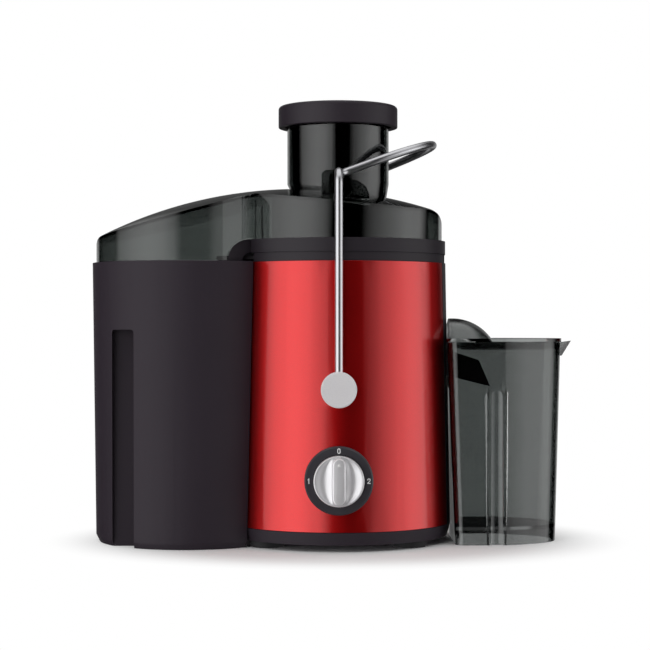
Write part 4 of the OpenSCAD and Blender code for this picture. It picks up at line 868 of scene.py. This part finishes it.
def pierced_cone_tree():
    """Tiles laid in rows, rolled up into a cone and given the sheet's thickness."""
    sizes = {"Round": 120, "Rows": 20, "Low Radius": 0.047, "Top Radius": 0.058, "Low Z": 0.16,
             "Height": 0.04, "Sheet": 0.0006}
    tree, start, end = geometry_tree("pierced cone", sizes)
    size = start.outputs
    grid = tree.nodes.new("GeometryNodeMeshGrid")
    wide = minus(tree, size["Round"], 1.0)
    high = minus(tree, size["Rows"], 1.0)
    tree.links.new(wide, grid.inputs["Size X"])
    tree.links.new(high, grid.inputs["Size Y"])
    tree.links.new(size["Round"], grid.inputs["Vertices X"])
    tree.links.new(size["Rows"], grid.inputs["Vertices Y"])
    tiles = tree.nodes.new("GeometryNodeInstanceOnPoints")
    tree.links.new(grid.outputs["Mesh"], tiles.inputs["Points"])
    tree.links.new(size["Geometry"], tiles.inputs["Instance"])
    flat = tree.nodes.new("GeometryNodeRealizeInstances")
    tree.links.new(tiles.outputs[0], flat.inputs[0])
    place = axes_of(tree, tree.nodes.new("GeometryNodeInputPosition").outputs[0])
    steps = over(tree, plus(tree, place["X"], over(tree, wide, 2.0)), size["Round"])
    turn = times(tree, steps, 2 * math.pi)
    rise = over(tree, plus(tree, place["Y"], over(tree, high, 2.0)), size["Rows"])
    growth = times(tree, minus(tree, size["Top Radius"], size["Low Radius"]), rise)
    radius = plus(tree, size["Low Radius"], growth)
    rolled = tree.nodes.new("ShaderNodeCombineXYZ")
    across = times(tree, radius, value_node(tree, "COSINE", turn))
    deep = times(tree, radius, value_node(tree, "SINE", turn))
    tree.links.new(across, rolled.inputs["X"])
    tree.links.new(deep, rolled.inputs["Y"])
    height = times(tree, size["Height"], rise)
    tree.links.new(plus(tree, size["Low Z"], height), rolled.inputs["Z"])
    roll = tree.nodes.new("GeometryNodeSetPosition")
    tree.links.new(flat.outputs[0], roll.inputs["Geometry"])
    tree.links.new(rolled.outputs[0], roll.inputs["Position"])
    seamed = tree.nodes.new("GeometryNodeMergeByDistance")
    seamed.inputs["Distance"].default_value = 0.02 * MM
    tree.links.new(roll.outputs[0], seamed.inputs["Geometry"])
    thick = tree.nodes.new("GeometryNodeExtrudeMesh")
    thick.inputs["Individual"].default_value = False
    tree.links.new(seamed.outputs[0], thick.inputs["Mesh"])
    tree.links.new(times(tree, size["Sheet"], -1.0), thick.inputs["Offset Scale"])
    both = tree.nodes.new("GeometryNodeJoinGeometry")
    tree.links.new(thick.outputs["Mesh"], both.inputs[0])
    tree.links.new(seamed.outputs[0], both.inputs[0])
    welded = tree.nodes.new("GeometryNodeMergeByDistance")
    welded.inputs["Distance"].default_value = 0.01 * MM
    tree.links.new(both.outputs[0], welded.inputs["Geometry"])
    finish_tree(tree, start, end, welded.outputs[0])
    return tree


def strainer_mesh(material):
    low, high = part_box("strainer_basket")
    mesh = grown(pierced_cone_tree(), pierced_tile(), material, Round=HOLES_ROUND, Rows=HOLE_ROWS,
                 Low_Radius=STRAINER_LOW_R, Top_Radius=STRAINER_TOP_R, Low_Z=low.z,
                 Height=high.z - low.z - 0.1 * MM, Sheet=STRAINER_SHEET)
    skin = skin_of(mesh)
    bmesh.ops.recalc_face_normals(skin, faces=skin.faces)
    put_back(skin, mesh)
    smooth_mesh(mesh)
    return mesh


basket_dark = moulding("basket moulding", BASKET_DARK, 0.4)
strainer_steel = worked_metal("strainer steel", (0.62, 0.62, 0.64), 0.26, stretch=(200, 200, 12))
piece_of("strainer_sheet", strainer_mesh(strainer_steel), strainer_steel,
         "drive", "strainer_steel", "strainer_basket")
dress(basket_dark, "basket_hub", "basket_rim")
dress(strainer_steel, "grater_disc")

# ---- Lid and feed tube ----
# The lid is one moulding of smoke-grey clear plastic: a crown that falls away to the pulp side,
# two saddles for the clamp, and the feed tube.

SMOKE = (0.205, 0.222, 0.215)
TUBE_R = 35.9 * MM
TUBE_FOOT_Z = 251.5 * MM
TUBE_FOOT_LOW_Z = 235 * MM
TUBE_FOOT_IN = 1.7 * MM
WALL_NEAR = 0.1 * MM
PLASTIC_IOR = 1.57
HAZE = 0.02


def narrow_tube_foot(mesh):
    """The tube's outer wall draws in where it meets the crown."""

    def on_wall(vert):
        return abs(vert.co.xy.length - TUBE_R) < WALL_NEAR

    skin = skin_of(mesh)
    wall = [f for f in skin.faces if all(on_wall(v) for v in f.verts)]
    edges = {e for f in wall for e in f.edges}
    verts = {v for f in wall for v in f.verts}
    bmesh.ops.bisect_plane(skin, geom=wall + list(edges) + list(verts), plane_co=(0, 0, TUBE_FOOT_Z),
                           plane_no=(0, 0, 1))
    for vert in skin.verts:
        if on_wall(vert) and TUBE_FOOT_LOW_Z < vert.co.z < TUBE_FOOT_Z - 0.5 * MM:
            flat = vert.co.xy.normalized() * (TUBE_R - TUBE_FOOT_IN)
            vert.co.x = flat.x
            vert.co.y = flat.y
    return put_back(skin, mesh)


def clear_plastic(name, colour):
    """A clear tinted plastic, with a faint haze in its gloss."""
    material = finish(name, colour, 0.0, IOR=PLASTIC_IOR, Transmission_Weight=1.0)
    tree = material.node_tree
    level = times(tree, noise_node(tree, 35.0, 3.0), HAZE)
    tree.links.new(level, tree.nodes["Principled BSDF"].inputs["Roughness"])
    return material


smoke_lid = clear_plastic("smoke lid", SMOKE)
piece_of("lid_and_tube", rounded(narrow_tube_foot(merged_copy("lid"))), smoke_lid,
         "motor_unit", "smoke_lid", "lid")

# ---- Pusher ----
# A hollow pusher of glossy black plastic slides in the feed tube, under a matt black cap with a
# rounded top edge.

gloss_black = moulding("gloss black", (0.013, 0.009, 0.014), 0.12, depth=0.0, clouds=0.03)
cap_black = moulding("cap black", (0.028, 0.021, 0.029), 0.5, Specular_IOR_Level=0.3)
piece_of("pusher_tube", rounded(merged_copy("pusher_body")), gloss_black,
         "pusher", "pusher_black", "pusher_body")
piece_of("pusher_top", rounded(merged_copy("pusher_cap"), 0.7 * MM), cap_black,
         "pusher", "cap_black", "pusher_cap")

# ---- Clamp ----
# A bail of polished stainless wire is set in two painted hubs, which turn on steel pins in brass
# bushes. It swings over the lid's saddles.

WIRE_R = 2.75 * MM
PIVOT_Z = 108.8 * MM
BAIL_RISE = 145.8 * MM
BEND_R = 8 * MM
BOW_HALF_W = 50 * MM
BOW_STRAIGHT = 21.5 * MM
BOW_TILT = math.radians(20)
ARM_FOOT = 5 * MM


def bail_path():
    """The middle line of the wire's knob side, from the hub up and round to the end of the bow."""
    arm_y = -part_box("wire_bail")[0].y - WIRE_R
    turns = [math.pi / 2 * k / 10 for k in range(11)]
    points = [(0, -arm_y, ARM_FOOT)]
    for a in turns:
        points.append((0, -arm_y + BEND_R * (1 - math.cos(a)), BAIL_RISE - BEND_R * (1 - math.sin(a))))
    flat = [(BEND_R * (1 - math.cos(a)), -BOW_HALF_W - BEND_R * (1 - math.sin(a))) for a in turns]
    flat += [(BOW_STRAIGHT + BOW_HALF_W * math.sin(a), -BOW_HALF_W * math.cos(a))
             for a in (math.pi / 2 * k / 28 for k in range(29))]
    for along, y in flat:
        points.append((along * math.cos(BOW_TILT), y, BAIL_RISE + along * math.sin(BOW_TILT)))
    return [(x, y, PIVOT_Z + z) for x, y, z in points]


def wire_tree():
    """A round wire that follows a line of edges."""
    tree, start, end = geometry_tree("wire", {"Wire Radius": 0.00275, "Sides": 40})
    line = tree.nodes.new("GeometryNodeMeshToCurve")
    tree.links.new(start.outputs["Geometry"], line.inputs["Mesh"])
    circle = tree.nodes.new("GeometryNodeCurvePrimitiveCircle")
    tree.links.new(start.outputs["Wire Radius"], circle.inputs["Radius"])
    tree.links.new(start.outputs["Sides"], circle.inputs["Resolution"])
    wire = tree.nodes.new("GeometryNodeCurveToMesh")
    wire.inputs["Fill Caps"].default_value = True
    tree.links.new(line.outputs[0], wire.inputs["Curve"])
    tree.links.new(circle.outputs[0], wire.inputs["Profile Curve"])
    finish_tree(tree, start, end, wire.outputs[0])
    return tree


def bail_mesh(material):
    half = bail_path()
    points = half + [(x, -y, z) for x, y, z in reversed(half[:-1])]
    line = bpy.data.meshes.new("bail line")
    line.from_pydata(points, [(i, i + 1) for i in range(len(points) - 1)], [])
    mesh = grown(wire_tree(), line, material, Wire_Radius=WIRE_R, Sides=40)
    smooth_mesh(mesh)
    return mesh


hub_paint = moulding("hub paint", (0.80, 0.785, 0.80), 0.42, grain=3000.0, depth=0.000008,
                     Coat_Weight=0.3, Coat_Roughness=0.2)
polished_wire = worked_metal("polished wire", (0.56, 0.56, 0.58), 0.3, stretch=(60, 60, 60), lines=0.05)
piece_of("clamp_hubs", rounded(merged_copy("pivot_hubs")), hub_paint,
         "bail", "hub_grey", "pivot_hubs")
piece_of("bail_wire", bail_mesh(polished_wire), polished_wire, "bail", "steel_wire", "wire_bail")
dress(pressed_carbon, "interlock_switch")

# ---- Pulp container ----
# A deep bin of matt black plastic hugs the housing. A grip groove runs up its front and another
# up its back.

CONTAINER_BLACK = (0.029, 0.0205, 0.030)

container_black = moulding("container black", CONTAINER_BLACK, 0.55, Specular_IOR_Level=0.3)
piece_of("pulp_bin", rounded(merged_copy("pulp_container"), 1.1 * MM, 4), container_black,
         "container", "container_black", "pulp_container")

# ---- Juice jug ----
# The jug is moulded in smoke-grey clear plastic, with a grip groove in its front, a raised floor
# over an open foot, a pouring lip and a loose lid with a hood over the spout.

JUG_SMOKE = (0.25, 0.265, 0.26)
# Painted shade: a darker tint low on the jug, standing in for the contact shadow under its foot
FOOT_SHADE_SMOKE = (0.115, 0.122, 0.12)
jug_low, jug_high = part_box("jug_body")
FOOT_SHADE_FADE = (9.9 * MM, 11.0 * MM)
LEAN = 2.9 * MM
LEAN_WALL = (12 * MM, 31 * MM)
LEAN_LENGTH = 34 * MM
# Distances from the middle, in millimetres, at which the jug is cut so that the lean can bend it
LEAN_CUTS = (12, 15, 19, 23, 27)
JUG_FLAT = math.radians(1.2)


def soft_step(value, start, end):
    share = min(max((value - start) / (end - start), 0.0), 1.0)
    return share * share * (3 - 2 * share)


def leaned(mesh):
    """The jug's corners lean to the housing with height, so its wall curves round the housing."""
    skin = skin_of(mesh)
    for y in [-y for y in reversed(LEAN_CUTS)] + list(LEAN_CUTS):
        every = list(skin.verts) + list(skin.edges) + list(skin.faces)
        bmesh.ops.bisect_plane(skin, geom=every, plane_co=(0, y * MM, 0), plane_no=(0, 1, 0))
    for vert in skin.verts:
        near = 1 - soft_step(vert.co.x, jug_low.x, jug_low.x + LEAN_LENGTH)
        rise = min(vert.co.z / jug_high.z, 1.0)
        vert.co.x -= LEAN * near * rise * soft_step(abs(vert.co.y), *LEAN_WALL)
    return put_back(skin, mesh)


def painted_foot_shade(material):
    """Painted shade: the jug's open foot and the edge of its floor get a darker tint than the wall
    above, in place of the contact shadow under the jug.
    """
    tree = material.node_tree
    above = fade_node(tree, axes_of(tree, object_place(tree))["Z"], *FOOT_SHADE_FADE)
    tone = blend_node(tree, above, (*FOOT_SHADE_SMOKE, 1), (*JUG_SMOKE, 1), "RGBA")
    tree.links.new(tone, tree.nodes["Principled BSDF"].inputs["Base Color"])
    return material


smoke_jug = painted_foot_shade(clear_plastic("smoke jug", JUG_SMOKE))
piece_of("jug_shell", rounded(leaned(merged_copy("jug_body", JUG_FLAT))), smoke_jug,
         "jug", "smoke_jug", "jug_body")
piece_of("jug_cover", rounded(leaned(merged_copy("jug_lid", JUG_FLAT)), 0.4 * MM), smoke_jug,
         "jug_cover", "smoke_jug", "jug_lid")
